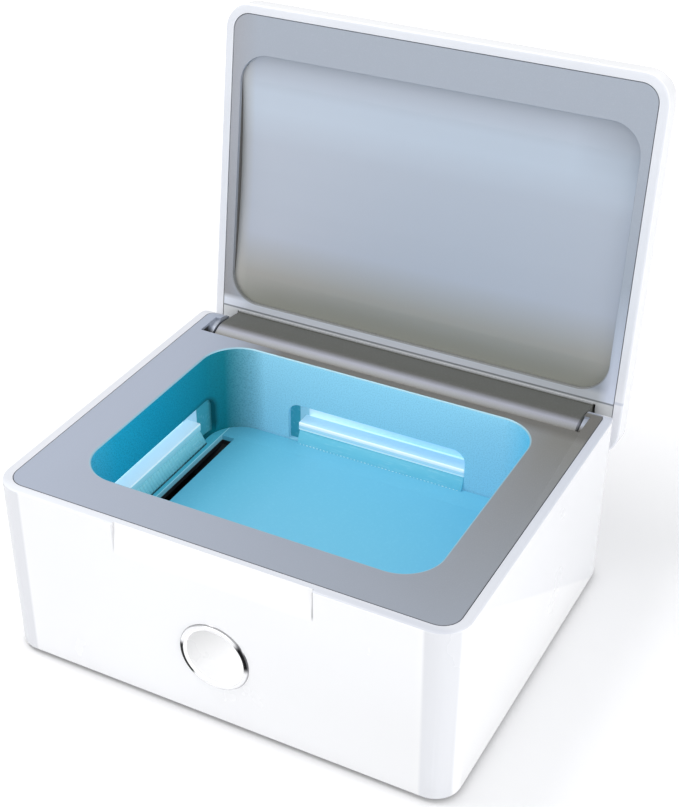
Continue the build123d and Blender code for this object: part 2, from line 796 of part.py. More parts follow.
def lamp_bar(plane, outward, socket_length):
    with BuildPart() as bar:
        with BuildSketch(plane):
            with Locations((-socket_length / 2, lamp_gap + lamp_bar_height / 2)):
                Rectangle(bar_length(socket_length), lamp_bar_height)
        extrude(amount=outward * lamp_bar_depth)
        long_edges = bar.edges().filter_by(Axis((0, 0, 0), plane.x_dir))
        fillet(long_edges.group_by(Axis.Z)[-1], lamp_edge_radius)
        # face set back under the lip
        face_height = lamp_bar_height - lamp_lip_height
        with BuildSketch(plane):
            with Locations((-socket_length / 2, lamp_gap + face_height / 2)):
                Rectangle(bar_length(socket_length), face_height)
        extrude(amount=outward * lamp_lip_depth, mode=Mode.SUBTRACT)
        add(trough_room(lamp_room), mode=Mode.SUBTRACT)
    return bar.part


def lamp_board(plane, outward, socket_length):
    front = lamp_bar_depth + lamp_led_thickness
    strip_length = bar_length(socket_length) - 2 * lamp_board_margin
    with BuildPart() as board:
        with BuildSketch(plane.offset(outward * front)):
            with Locations((-socket_length / 2, lamp_gap + lamp_bar_height / 2)):
                Rectangle(strip_length, lamp_bar_height - 2 * lamp_board_margin)
        extrude(amount=outward * lamp_board_thickness)
        add(trough_room(lamp_room), mode=Mode.SUBTRACT)
    return board.part


def lamp_leds(plane, outward, socket_length):
    led_pitch = bar_length(socket_length) / lamp_led_count
    with BuildPart() as leds:
        with BuildSketch(plane.offset(outward * lamp_bar_depth)):
            with Locations((-socket_length / 2, lamp_gap + lamp_bar_height / 2)):
                with GridLocations(led_pitch, 0, lamp_led_count, 1):
                    Rectangle(lamp_led_size, lamp_led_size)
        extrude(amount=outward * lamp_led_thickness)
        add(trough_room(lamp_room), mode=Mode.SUBTRACT)
    return leds.part


for side_name, wall_plane, outward, socket_length in (
    ("side", side_wall_plane, -1, side_socket_length),
    ("back", back_wall_plane, 1, back_socket_length),
):
    for piece_name, piece in (
        ("lamp_housing", lamp_tray(wall_plane, outward, socket_length)),
        ("lamp_bar", lamp_bar(wall_plane, outward, socket_length)),
        ("lamp_board", lamp_board(wall_plane, outward, socket_length)),
        ("lamp_leds", lamp_leds(wall_plane, outward, socket_length)),
    ):
        label = f"{side_name}_{piece_name}"
        piece.label = label
        export_step(piece, f"parts/{label}.step")

# Circulation fan: square frame with a spider and motor boss, and a rotor on a shaft
with BuildPart() as fan_frame:
    with BuildSketch(Plane.XY.offset(fan_bottom)):
        with Locations((fan_centre_x, 0)):
            RectangleRounded(fan_size, fan_size, fan_corner_radius)
            Circle(fan_bore_radius, mode=Mode.SUBTRACT)
    extrude(amount=fan_thickness)
    with BuildSketch(Plane.XY.offset(fan_bottom)):
        with Locations((fan_centre_x, 0)):
            Circle(fan_hub_radius)
            with PolarLocations(0, 4, start_angle=45):
                Rectangle(fan_bore_radius + root_overlap, fan_strut_width, align=(Align.MIN, Align.CENTER))
    extrude(amount=fan_floor)
    with BuildSketch(Plane.XY.offset(fan_bottom)):
        with Locations((fan_centre_x, 0)):
            Circle(fan_boss_radius)
    extrude(amount=fan_boss_height)
    with BuildSketch(Plane.XY.offset(fan_bottom)):
        with Locations((fan_centre_x, 0)):
            Circle(fan_shaft_radius + running_clearance)
        with Locations(*fan_hole_positions):
            Circle(fan_hole_radius)
    extrude(amount=fan_thickness, mode=Mode.SUBTRACT)
fan_frame.part.label = "fan_frame"
export_step(fan_frame.part, "parts/fan_frame.step")

rotor_bottom = fan_bottom + fan_floor + fan_end_gap
rotor_top = fan_top - fan_end_gap
blade_middle = (rotor_bottom + rotor_top) / 2
blade_rise = rotor_top - rotor_bottom - fan_blade_margin
blade_reach = fan_bore_radius - fan_tip_gap
blade_plane = Plane(
    origin=(fan_centre_x, 0, blade_middle),
    x_dir=(0, cos(radians(fan_blade_pitch)), sin(radians(fan_blade_pitch))),
    z_dir=(1, 0, 0),
)

# One pitched blade, cut to the rotor's sweep
with BuildPart() as blade:
    with BuildSketch(blade_plane.offset(fan_hub_radius - root_overlap)):
        Rectangle(blade_rise / sin(radians(fan_blade_pitch)), fan_blade_thickness)
    extrude(amount=blade_reach)
    with BuildSketch(Plane.XY.offset(rotor_bottom)):
        with Locations((fan_centre_x, 0)):
            Circle(blade_reach)
    extrude(amount=rotor_top - rotor_bottom, mode=Mode.INTERSECT)

with BuildPart() as fan_rotor:
    with BuildSketch(Plane.XY.offset(rotor_bottom)):
        with Locations((fan_centre_x, 0)):
            Circle(fan_hub_radius)
    extrude(amount=rotor_top - rotor_bottom)
    chamfer(fan_rotor.edges().group_by(Axis.Z)[-1], fan_hub_edge)
    turn_axis = Axis((fan_centre_x, 0, 0), (0, 0, 1))
    for turn in range(fan_blade_count):
        add(blade.part.rotate(turn_axis, 360 * turn / fan_blade_count))
    with BuildSketch(Plane.XY.offset(rotor_bottom)):
        with Locations((fan_centre_x, 0)):
            Circle(fan_hub_radius - fan_hub_wall)
            Circle(fan_shaft_radius, mode=Mode.SUBTRACT)
    extrude(amount=rotor_top - rotor_bottom - fan_hub_wall, mode=Mode.SUBTRACT)
    with BuildSketch(Plane.XY.offset(fan_bottom + fan_end_gap)):
        with Locations((fan_centre_x, 0)):
            Circle(fan_shaft_radius)
    extrude(amount=rotor_top - fan_bottom - 2 * fan_end_gap)
fan_rotor.part.label = "fan_rotor"
export_step(fan_rotor.part, "parts/fan_rotor.step")


# Section of the duct: a rectangle about the fan's axis with its corners cut at 45 degrees
def duct_section(level, width, length, corner):
    with BuildSketch(Plane.XY.offset(level)) as section:
        with Locations((fan_centre_x, 0)):
            Rectangle(width, length)
        chamfer(section.vertices(), corner)
    return section.sketch


# Straight collar, throat that narrows to the slot, and straight neck through the tub ledge
def duct_passage(base_radius, width, length, corner, bottom):
    throat_bottom = fan_top + duct_flange + duct_collar
    throat_top = tub_bottom - fit_gap
    base_corner = base_radius * (2 - sqrt(2))
    with BuildPart() as passage:
        add(duct_section(bottom, 2 * base_radius, 2 * base_radius, base_corner))
        extrude(amount=throat_bottom - bottom)
        add(duct_section(throat_bottom, 2 * base_radius, 2 * base_radius, base_corner))
        add(duct_section(throat_top, width, length, corner))
        loft(ruled=True)
        add(duct_section(throat_top, width, length, corner))
        extrude(amount=floor_bottom - lamp_gap - throat_top)
    return passage.part


with BuildPart() as fan_duct:
    with BuildSketch(Plane.XY.offset(fan_top)):
        with Locations((fan_centre_x, 0)):
            RectangleRounded(fan_size, fan_size, fan_corner_radius)
        with Locations(*fan_hole_positions):
            Circle(fan_hole_radius, mode=Mode.SUBTRACT)
    extrude(amount=duct_flange)
    add(
        duct_passage(
            fan_bore_radius + duct_wall,
            air_slot_width + 2 * duct_wall,
            air_slot_length + 2 * duct_wall,
            duct_corner + duct_wall,
            fan_top + duct_flange / 2,
        )
    )
    add(
        duct_passage(fan_bore_radius, air_slot_width, air_slot_length, duct_corner, fan_top),
        mode=Mode.SUBTRACT,
    )
fan_duct.part.label = "fan_duct"
export_step(fan_duct.part, "parts/fan_duct.step")

with BuildPart() as fan_screws:
    fan_screw_seat = fan_top + duct_flange
    with BuildSketch(Plane.XY.offset(fan_screw_seat)):
        with Locations(*fan_hole_positions):
            Circle(small_screw_head_radius)
    extrude(amount=small_screw_head)
    with BuildSketch(Plane.XY.offset(fan_screw_seat)):
        with Locations(*fan_hole_positions):
            Circle(fan_screw_radius)
    extrude(amount=fan_screw_end_gap - duct_flange - fan_thickness - fan_screw_bite)
fan_screws.part.label = "fan_screws"
export_step(fan_screws.part, "parts/fan_screws.step")

# Main board on the cover standoffs
with BuildPart() as main_board:
    with BuildSketch(Plane.XY.offset(board_bottom)):
        with Locations((board_centre_x, board_centre_y)):
            RectangleRounded(board_length, board_depth, board_corner_radius)
        with Locations(*board_hole_positions):
            Circle(small_screw_radius + fit_gap, mode=Mode.SUBTRACT)
    extrude(amount=board_thickness)
main_board.part.label = "main_board"
export_step(main_board.part, "parts/main_board.step")

with BuildPart() as board_screws:
    with BuildSketch(Plane.XY.offset(board_top)):
        with Locations(*board_hole_positions):
            Circle(small_screw_head_radius)
    extrude(amount=small_screw_head)
    with BuildSketch(Plane.XY.offset(board_top)):
        with Locations(*board_hole_positions):
            Circle(small_screw_radius)
    extrude(amount=-board_screw_length)
board_screws.part.label = "board_screws"
export_step(board_screws.part, "parts/board_screws.step")


# A group of square-cornered or round components standing on a plane
def board_blocks(level, places, length, width, height, corner):
    with BuildPart() as blocks:
        with BuildSketch(Plane.XY.offset(level)):
            with Locations(*places):
                RectangleRounded(length, width, corner)
        extrude(amount=height)
        chamfer(blocks.edges().group_by(Axis.Z)[-1], component_edge)
    return blocks.part


# Places on the board, in grid steps from its left end and from its back or front edge
def from_back(column, row):
    return (board_left + column * board_pitch, board_back - row * board_pitch)


def from_front(column, row):
    return (board_left + column * board_pitch, board_front + row * board_pitch)


chip_places = [from_back(*cell) for cell in chip_cells_back]
chip_places += [from_front(*cell) for cell in chip_cells_front]
inductor_places = [from_back(*cell) for cell in inductor_cells]
connector_places = [from_back(*cell) for cell in connector_cells_back]
connector_places += [from_front(*cell) for cell in connector_cells_front]
capacitor_places = [from_back(*cell) for cell in capacitor_cells]
board_chips = board_blocks(board_top, chip_places, chip_size, chip_size, chip_height, chip_corner)
board_inductor = board_blocks(
    board_top, inductor_places, inductor_size, inductor_size, inductor_height, inductor_corner
)
board_connectors = board_blocks(
    board_top, connector_places, connector_length, connector_width, connector_height, connector_corner
)
with BuildPart() as board_capacitors:
    with BuildSketch(Plane.XY.offset(board_top)):
        with Locations(*capacitor_places):
            Circle(capacitor_radius)
    extrude(amount=capacitor_height)
    chamfer(board_capacitors.edges().group_by(Axis.Z)[-1], capacitor_edge)
for label, piece in (
    ("board_chips", board_chips),
    ("board_inductor", board_inductor),
    ("board_connectors", board_connectors),
    ("board_capacitors", board_capacitors.part),
):
    piece.label = label
    export_step(piece, f"parts/{label}.step")

# Power socket on the back edge of the board, its nose in the back wall
with BuildPart() as dc_jack:
    jack_axis = (jack_x, jack_axis_z)
    with BuildSketch(Plane.XY.offset(board_top)):
        with Locations((jack_x, jack_body_back - jack_length / 2)):
            Rectangle(jack_width, jack_length)
    extrude(amount=jack_height)
    chamfer(dc_jack.edges().group_by(Axis.Z)[-1], jack_edge)
    with BuildSketch(Plane.XZ.offset(-jack_body_back)):
        with Locations(jack_axis):
            Circle(jack_nose_radius)
    extrude(amount=-(jack_back_wall - jack_nose_recess - jack_body_back))
    with BuildSketch(Plane.XZ.offset(-(jack_back_wall - jack_nose_recess))):
        with Locations(jack_axis):
            Circle(jack_bore_radius)
            Circle(jack_pin_radius, mode=Mode.SUBTRACT)
    extrude(amount=jack_bore_depth, mode=Mode.SUBTRACT)
dc_jack.part.label = "dc_jack"
export_step(dc_jack.part, "parts/dc_jack.step")

# Catch magnets and the lid sensor under the deck
with BuildPart() as catch_magnets:
    with BuildSketch(Plane.XY.offset(deck_bottom)):
        with Locations((-magnet_x, magnet_y), (magnet_x, magnet_y)):
            Circle(magnet_radius)
    extrude(amount=-magnet_thickness)
catch_magnets.part.label = "catch_magnets"
export_step(catch_magnets.part, "parts/catch_magnets.step")

with BuildPart() as lid_sensor:
    with BuildSketch(Plane.XY.offset(deck_bottom)):
        with Locations((sensor_x, magnet_y)):
            RectangleRounded(sensor_length, sensor_width, sensor_corner)
    extrude(amount=-sensor_height)
lid_sensor.part.label = "lid_sensor"
export_step(lid_sensor.part, "parts/lid_sensor.step")

# Power button: ring in the front wall, cap that slides in it, switch and board behind
button_axis = Axis(button_plane.origin, -button_plane.z_dir)
button_section = Plane(
    origin=button_plane.origin, x_dir=(1, 0, 0), z_dir=(0, -sin(button_tilt), cos(button_tilt))
)
with BuildPart() as button_ring:
    with BuildSketch(button_section):
        with BuildLine():
            Polyline(
                (button_bore_radius, 0),
                (button_bore_radius, button_sleeve_depth),
                (button_sleeve_radius, button_sleeve_depth),
                (button_sleeve_radius, 0),
                (button_ring_radius, 0),
            )
            crown_x = (button_ring_radius + button_bore_radius) / 2 + button_ring_crown_shift
            ring_face = ThreePointArc(
                (button_ring_radius, 0),
                (crown_x, -button_ring_stand),
                (button_bore_radius, -button_ring_inner_stand),
            )
            Line(ring_face @ 1, (button_bore_radius, 0))
        make_face()
    revolve(axis=button_axis)
button_ring.part.label = "button_ring"
export_step(button_ring.part, "parts/button_ring.step")

with BuildPart() as button_cap:
    cap_radius = button_bore_radius - button_cap_gap
    flange_radius = button_bore_radius + button_flange_width
    with BuildSketch(button_section):
        with BuildLine():
            dome = TangentArc(
                (0, -button_dome_stand),
                (cap_radius - button_cap_edge, -button_dome_stand + button_dome),
                tangent=(1, 0),
            )
            Polyline(
                dome @ 1,
                (cap_radius, -button_dome_stand + button_dome + button_cap_edge),
                (cap_radius, button_flange_front),
                (flange_radius, button_flange_front),
                (flange_radius, button_flange_back),
                (cap_radius - button_cap_wall, button_flange_back),
                (cap_radius - button_cap_wall, button_cap_wall),
                (stem_radius, button_cap_wall),
                (stem_radius, stem_end),
                (0, stem_end),
                dome @ 0,
            )
        make_face()
    revolve(axis=button_axis)
button_cap.part.label = "button_cap"
export_step(button_cap.part, "parts/button_cap.step")

with BuildPart() as switch_plunger:
    with BuildSketch(button_plane.offset(-stem_end)):
        Circle(plunger_radius)
    extrude(amount=-plunger_length)
switch_plunger.part.label = "switch_plunger"
export_step(switch_plunger.part, "parts/switch_plunger.step")

with BuildPart() as tact_switch:
    with BuildSketch(button_plane.offset(-switch_front)):
        RectangleRounded(switch_size, switch_size, switch_corner)
        Circle(plunger_radius + running_clearance, mode=Mode.SUBTRACT)
    extrude(amount=switch_base - switch_depth)
    with BuildSketch(button_plane.offset(switch_base - switch_back)):
        RectangleRounded(switch_size, switch_size, switch_corner)
    extrude(amount=-switch_base)
tact_switch.part.label = "tact_switch"
export_step(tact_switch.part, "parts/tact_switch.step")

with BuildPart() as button_board:
    with BuildSketch(button_plane.offset(-switch_back)):
        RectangleRounded(button_board_width, button_board_height, button_board_corner)
        with GridLocations(button_post_spacing, 0, 2, 1):
            Circle(small_screw_radius + fit_gap, mode=Mode.SUBTRACT)
    extrude(amount=-button_board_thickness)
button_board.part.label = "button_board"
export_step(button_board.part, "parts/button_board.step")

with BuildPart() as button_screws:
    with BuildSketch(button_plane.offset(-button_board_back)):
        with GridLocations(button_post_spacing, 0, 2, 1):
            Circle(small_screw_head_radius)
    extrude(amount=-small_screw_head)
    with BuildSketch(button_plane.offset(-button_board_back)):
        with GridLocations(button_post_spacing, 0, 2, 1):
            Circle(small_screw_radius)
    extrude(amount=small_screw_length)
button_screws.part.label = "button_screws"
export_step(button_screws.part, "parts/button_screws.step")

# The lid is drawn closed and level in its own frame, whose origin is the hinge axis, and that
# frame is turned back to the open angle. Along Y it then runs forward to the front of the lid.
open_turn = radians(open_angle)
lid_plane = Plane(
    origin=(0, hinge_y, hinge_z), x_dir=(1, 0, 0), z_dir=(0, sin(open_turn), cos(open_turn))
)
hinge_section = Plane(origin=lid_plane.origin, x_dir=lid_plane.y_dir, z_dir=(1, 0, 0))
lid_bottom = hinge_drop + lid_gap
lid_top = lid_bottom + lid_thickness
lid_ceiling = lid_top - lid_top_wall
liner_front = lid_bottom + liner_recess
liner_back = liner_front + liner_thickness
lid_y = -hinge_y
flange_back = liner_back + reflector_wall
lip_back = hinge_setback - lid_rim_width - fit_gap
barrel_flange_front = -barrel_radius - barrel_flange_reach
barrel_flange_back = liner_back + barrel_flange_thickness
boss_positions = [
    (x, 0) for x in (-barrel_screw_outer, -barrel_screw_inner, barrel_screw_inner, barrel_screw_outer)
]
lid_magnet_positions = [(-magnet_x, magnet_y - hinge_y), (magnet_x, magnet_y - hinge_y)]
liner_width = base_width - 2 * lid_rim_width
liner_depth = base_depth - 2 * lid_rim_width
liner_radius = corner_radius - lid_rim_width
window_width = liner_width - 2 * liner_side_width
window_front = lid_y - liner_depth / 2 + liner_front_width
window_depth = -window_hinge_gap - window_front
window_y = window_front + window_depth / 2
flange_width = window_width + 2 * reflector_wall + 2 * reflector_flange
flange_depth = window_depth + 2 * reflector_wall + 2 * reflector_flange
flange_radius_outer = window_corner_radius + reflector_wall + reflector_flange


def lid_level(height):
    return lid_plane.offset(height)


with BuildPart() as lid_shell:
    with BuildSketch(lid_level(lid_bottom)):
        with Locations((0, lid_y)):
            RectangleRounded(base_width, base_depth, corner_radius)
    extrude(amount=lid_thickness)
    top_face = lid_shell.faces().sort_by(Axis(lid_plane.origin, lid_plane.z_dir))[-1]
    fillet(top_face.edges(), lid_edge_radius)
    bottom_face = lid_shell.faces().sort_by(Axis(lid_plane.origin, lid_plane.z_dir))[0]
    fillet(bottom_face.edges(), lid_rim_edge_radius)
    with BuildSketch(lid_level(lid_bottom)):
        with Locations((0, lid_y)):
            RectangleRounded(liner_width, liner_depth, liner_radius)
    extrude(amount=lid_ceiling - lid_bottom, mode=Mode.SUBTRACT)
    # bosses for the barrel screws, posts behind the liner corners
    with BuildSketch(lid_level(barrel_flange_back)):
        with Locations(*boss_positions):
            Circle(barrel_boss_radius)
    extrude(amount=lid_ceiling - barrel_flange_back + root_overlap)
    with BuildSketch(lid_level(liner_back)):
        with Locations((0, lid_y)):
            with GridLocations(liner_width - 2 * post_inset, liner_depth - 2 * post_inset, 2, 2):
                Circle(liner_post_radius)
    extrude(amount=lid_ceiling - liner_back + root_overlap)
    with BuildSketch(lid_level(liner_back)):
        with Locations(*boss_positions):
            Circle(screw_radius + press_clearance)
    extrude(amount=barrel_screw_length + fit_gap, mode=Mode.SUBTRACT)
    # ribs that hold the flange of the reflector against the liner
    with BuildSketch(lid_level(flange_back)):
        with Locations((0, window_y)):
            with GridLocations(flange_width - reflector_flange, rib_spacing, 2, 3):
                Rectangle(reflector_flange, rib_length)
    extrude(amount=lid_ceiling - flange_back + root_overlap)
lid_shell.part.label = "lid_shell"
export_step(lid_shell.part, "parts/lid_shell.step")

with BuildPart() as lid_liner:
    with BuildSketch(lid_level(liner_front)):
        with Locations((0, lid_y)):
            RectangleRounded(liner_width - 2 * fit_gap, liner_depth - 2 * fit_gap, liner_radius - fit_gap)
        with Locations((0, window_y)):
            RectangleRounded(window_width, window_depth, window_corner_radius, mode=Mode.SUBTRACT)
        with Locations((0, -barrel_radius - fit_gap)):
            Rectangle(
                barrel_length + 2 * fit_gap, base_depth, align=(Align.CENTER, Align.MIN), mode=Mode.SUBTRACT
            )
    extrude(amount=liner_thickness)
    with BuildSketch(lid_level(liner_back)):
        with Locations(*lid_magnet_positions):
            Circle(magnet_radius + fit_gap + magnet_cup_wall)
            Circle(magnet_radius + fit_gap, mode=Mode.SUBTRACT)
    extrude(amount=magnet_thickness)
lid_liner.part.label = "lid_liner"
export_step(lid_liner.part, "parts/lid_liner.step")

# Dished reflector: a shallow trough across the lid, closed by its two end walls
dish_front = window_y - window_depth / 2
dish_back = window_y + window_depth / 2


def dish_profile(sink):
    with BuildSketch(mode=Mode.PRIVATE) as profile:
        with BuildLine():
            bowl = ThreePointArc(
                (dish_front - reflector_wall, lid_bottom + dish_edge_depth + sink),
                (window_y, lid_bottom + dish_depth + sink),
                (dish_back + reflector_wall, lid_bottom + dish_edge_depth + sink),
            )
            Polyline(
                bowl @ 1,
                (dish_back + reflector_wall, lid_bottom - 1),
                (dish_front - reflector_wall, lid_bottom - 1),
                bowl @ 0,
            )
        make_face()
    return profile.sketch


with BuildPart(mode=Mode.PRIVATE) as dish_hollow:
    with BuildSketch(lid_level(lid_bottom - 1)):
        with Locations((0, window_y)):
            RectangleRounded(window_width, window_depth, window_corner_radius)
    extrude(amount=lid_thickness)
    with BuildSketch(hinge_section):
        add(dish_profile(0.0))
    extrude(amount=base_width, both=True, mode=Mode.INTERSECT)

with BuildPart() as lid_reflector:
    with BuildSketch(lid_level(liner_back)):
        with Locations((0, window_y)):
            RectangleRounded(
                window_width + 2 * reflector_wall,
                window_depth + 2 * reflector_wall,
                window_corner_radius + reflector_wall,
            )
    extrude(amount=lid_thickness)
    with BuildSketch(hinge_section):
        add(dish_profile(reflector_wall))
    extrude(amount=base_width, both=True, mode=Mode.INTERSECT)
    with BuildSketch(lid_level(liner_back)):
        with Locations((0, window_y)):
            RectangleRounded(flange_width, flange_depth, flange_radius_outer)
    extrude(amount=reflector_wall)
    add(dish_hollow.part, mode=Mode.SUBTRACT)
lid_reflector.part.label = "lid_reflector"
export_step(lid_reflector.part, "parts/lid_reflector.step")

# Hinge barrel with the web, the lip that fills the back of the liner and the hidden flange.
# The web leaves the barrel at a tangent and ends in a bead against the liner.
with BuildPart() as hinge_barrel:
    with BuildSketch(hinge_section):
        Circle(barrel_radius)
    extrude(amount=barrel_length / 2, both=True)
    chamfer(hinge_barrel.edges().filter_by(GeomType.CIRCLE), barrel_edge)
    with BuildSketch(hinge_section):
        with Locations((-barrel_radius, 0)):
            Rectangle(barrel_radius + web_back, liner_back, align=(Align.MIN, Align.MIN))
        with Locations((-barrel_radius, liner_front)):
            Rectangle(2 * web_bead, web_bead, align=(Align.CENTER, Align.MAX))
        with BuildLine():
            Polyline(
                (-barrel_radius, liner_front),
                (lip_back, liner_front),
                (lip_back, barrel_flange_back),
                (barrel_flange_front, barrel_flange_back),
                (barrel_flange_front, liner_back),
                (-barrel_radius, liner_back),
                close=True,
            )
        make_face()
    extrude(amount=barrel_length / 2 - barrel_edge, both=True)
    for side in (-1, 1):
        with BuildSketch(hinge_section.offset(side * barrel_length / 2)):
            Circle(bush_radius + press_clearance)
        extrude(amount=-side * bush_length, mode=Mode.SUBTRACT)
        with BuildSketch(hinge_section.offset(side * barrel_length / 2)):
            Circle(pin_radius + fit_gap)
        extrude(amount=-side * (barrel_length / 2 - pin_inner_x + fit_gap), mode=Mode.SUBTRACT)
    with Locations(lid_level(liner_back)):
        with Locations(*boss_positions):
            with Locations(Rotation(180, 0, 0)):
                CounterSinkHole(
                    screw_radius + fit_gap, screw_head_radius + fit_gap, depth=barrel_flange_thickness
                )
    # screwdriver holes through the barrel and the web, hidden by the trough
    with BuildSketch(lid_level(liner_back)):
        with Locations(*boss_positions):
            Circle(screw_head_radius + fit_gap)
    extrude(amount=-liner_back - barrel_radius, mode=Mode.SUBTRACT)
hinge_barrel.part.label = "hinge_barrel"
export_step(hinge_barrel.part, "parts/hinge_barrel.step")

with BuildPart() as hinge_bushes:
    for side in (-1, 1):
        with BuildSketch(hinge_section.offset(side * barrel_length / 2)):
            Circle(bush_radius)
            Circle(pin_radius + running_clearance, mode=Mode.SUBTRACT)
        extrude(amount=-side * bush_length)
hinge_bushes.part.label = "hinge_bushes"
export_step(hinge_bushes.part, "parts/hinge_bushes.step")

with BuildPart() as hinge_pins:
    for side in (-1, 1):
        with BuildSketch(Plane.YZ.offset(side * pin_outer_x)):
            with Locations((hinge_y, hinge_z)):
                Circle(pin_radius)
        extrude(amount=-side * pin_length)
    chamfer(hinge_pins.edges().filter_by(GeomType.CIRCLE), pin_edge)
hinge_pins.part.label = "hinge_pins"
export_step(hinge_pins.part, "parts/hinge_pins.step")

with BuildPart() as barrel_screws:
    with Locations(lid_level(liner_back)):
        with Locations(*boss_positions):
            Cone(
                screw_head_radius,
                screw_radius,
                screw_head_radius - screw_radius,
                align=(Align.CENTER, Align.CENTER, Align.MIN),
            )
            Cylinder(screw_radius, barrel_screw_length, align=(Align.CENTER, Align.CENTER, Align.MIN))
barrel_screws.part.label = "barrel_screws"
export_step(barrel_screws.part, "parts/barrel_screws.step")

with BuildPart() as lid_magnets:
    with BuildSketch(lid_level(liner_back)):
        with Locations(*lid_magnet_positions):
            Circle(magnet_radius)
    extrude(amount=magnet_thickness)
lid_magnets.part.label = "lid_magnets"
export_step(lid_magnets.part, "parts/lid_magnets.step")

with BuildPart() as sensor_magnet:
    with BuildSketch(lid_level(liner_back)):
        with Locations((sensor_x, magnet_y - hinge_y)):
            Rectangle(sensor_magnet_length, sensor_width)
    extrude(amount=magnet_thickness)
sensor_magnet.part.label = "sensor_magnet"
export_step(sensor_magnet.part, "parts/sensor_magnet.step")
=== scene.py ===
import json
import math

import bmesh
import bpy
from mathutils import Matrix, Vector

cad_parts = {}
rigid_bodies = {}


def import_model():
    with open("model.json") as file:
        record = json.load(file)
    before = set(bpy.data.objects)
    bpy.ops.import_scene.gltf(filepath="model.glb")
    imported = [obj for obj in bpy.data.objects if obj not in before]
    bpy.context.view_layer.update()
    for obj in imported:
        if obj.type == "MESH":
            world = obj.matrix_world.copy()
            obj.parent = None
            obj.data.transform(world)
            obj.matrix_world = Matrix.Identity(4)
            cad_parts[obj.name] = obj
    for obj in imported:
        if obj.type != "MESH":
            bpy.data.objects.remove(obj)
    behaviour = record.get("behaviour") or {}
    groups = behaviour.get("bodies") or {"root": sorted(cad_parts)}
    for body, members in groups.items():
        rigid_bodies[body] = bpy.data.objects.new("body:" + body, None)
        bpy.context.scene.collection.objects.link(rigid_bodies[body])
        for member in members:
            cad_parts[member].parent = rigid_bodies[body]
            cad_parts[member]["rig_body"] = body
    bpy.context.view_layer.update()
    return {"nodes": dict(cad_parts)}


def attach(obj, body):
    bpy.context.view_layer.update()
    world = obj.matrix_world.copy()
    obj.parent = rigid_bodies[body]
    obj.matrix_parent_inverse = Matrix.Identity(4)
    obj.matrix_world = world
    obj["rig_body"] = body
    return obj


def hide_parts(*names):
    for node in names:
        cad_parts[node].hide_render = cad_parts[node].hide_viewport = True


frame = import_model()
nodes = frame["nodes"]
mm = 0.001
print("frame loaded:", len(nodes), "nodes")


class Wire:
    # one socket, so that sums on it read as sums

    def __init__(self, maker, socket):
        self.maker = maker
        self.socket = socket

    def maths(self, operation, *values):
        return self.maker.node("ShaderNodeMath", {"operation": operation}, dict(enumerate(values)))

    def __add__(self, other):
        return self.maths("ADD", self, other)

    def __radd__(self, other):
        return self.maths("ADD", other, self)

    def __sub__(self, other):
        return self.maths("SUBTRACT", self, other)

    def __rsub__(self, other):
        return self.maths("SUBTRACT", other, self)

    def __mul__(self, other):
        return self.maths("MULTIPLY", self, other)

    def __rmul__(self, other):
        return self.maths("MULTIPLY", other, self)

    def __truediv__(self, other):
        return self.maths("DIVIDE", self, other)

    def __pow__(self, other):
        return self.maths("POWER", self, other)

    def __abs__(self):
        return self.maths("ABSOLUTE", self)

    def root(self):
        return self.maths("SQRT", self)

    def cosine(self):
        return self.maths("COSINE", self)

    def atLeast(self, other):
        return self.maths("MAXIMUM", self, other)

    def atMost(self, other):
        return self.maths("MINIMUM", self, other)

    def fade(self, low, high):
        # 0 at low and 1 at high, straight between, level outside
        return ((self - low) / (high - low)).atLeast(0.0).atMost(1.0)

    def within(self, rise, fall):
        # fades in over the first pair of places and out over the second
        return self.fade(*rise) * (1 - self.fade(*fall))

    def near(self, middle, full, gone):
        # 1 up to one distance from the middle, 0 from the other on
        return 1 - abs(self - middle).fade(full, gone)

    def step(self, low, high):
        # 0 below low, 1 above high, smooth between
        return self.maker.node(
            "ShaderNodeMapRange",
            {"interpolation_type": "SMOOTHSTEP"},
            {"Value": self, "From Min": low, "From Max": high},
        )


class Maker:
    # adds nodes to one tree: first their settings, then the values or links of their sockets

    def __init__(self, tree):
        self.tree = tree

    def add(self, kind, settings=None, values=None):
        made = self.tree.nodes.new(kind)
        for key, value in (settings or {}).items():
            if key == "stops":
                self.fillRamp(made.color_ramp, value)
            else:
                setattr(made, key, value)
        for key, value in (values or {}).items():
            self.fill(made.inputs[key], value)
        return made

    def node(self, kind, settings=None, values=None, output=0):
        return Wire(self, self.add(kind, settings, values).outputs[output])

    def fill(self, target, value):
        if isinstance(value, Wire):
            self.tree.links.new(value.socket, target)
        else:
            target.default_value = value

    def fillRamp(self, ramp, stops):
        while len(ramp.elements) < len(stops):
            ramp.elements.new(0.5)
        for element, (position, colour) in zip(ramp.elements, stops):
            element.position = position
            element.color = full(colour)


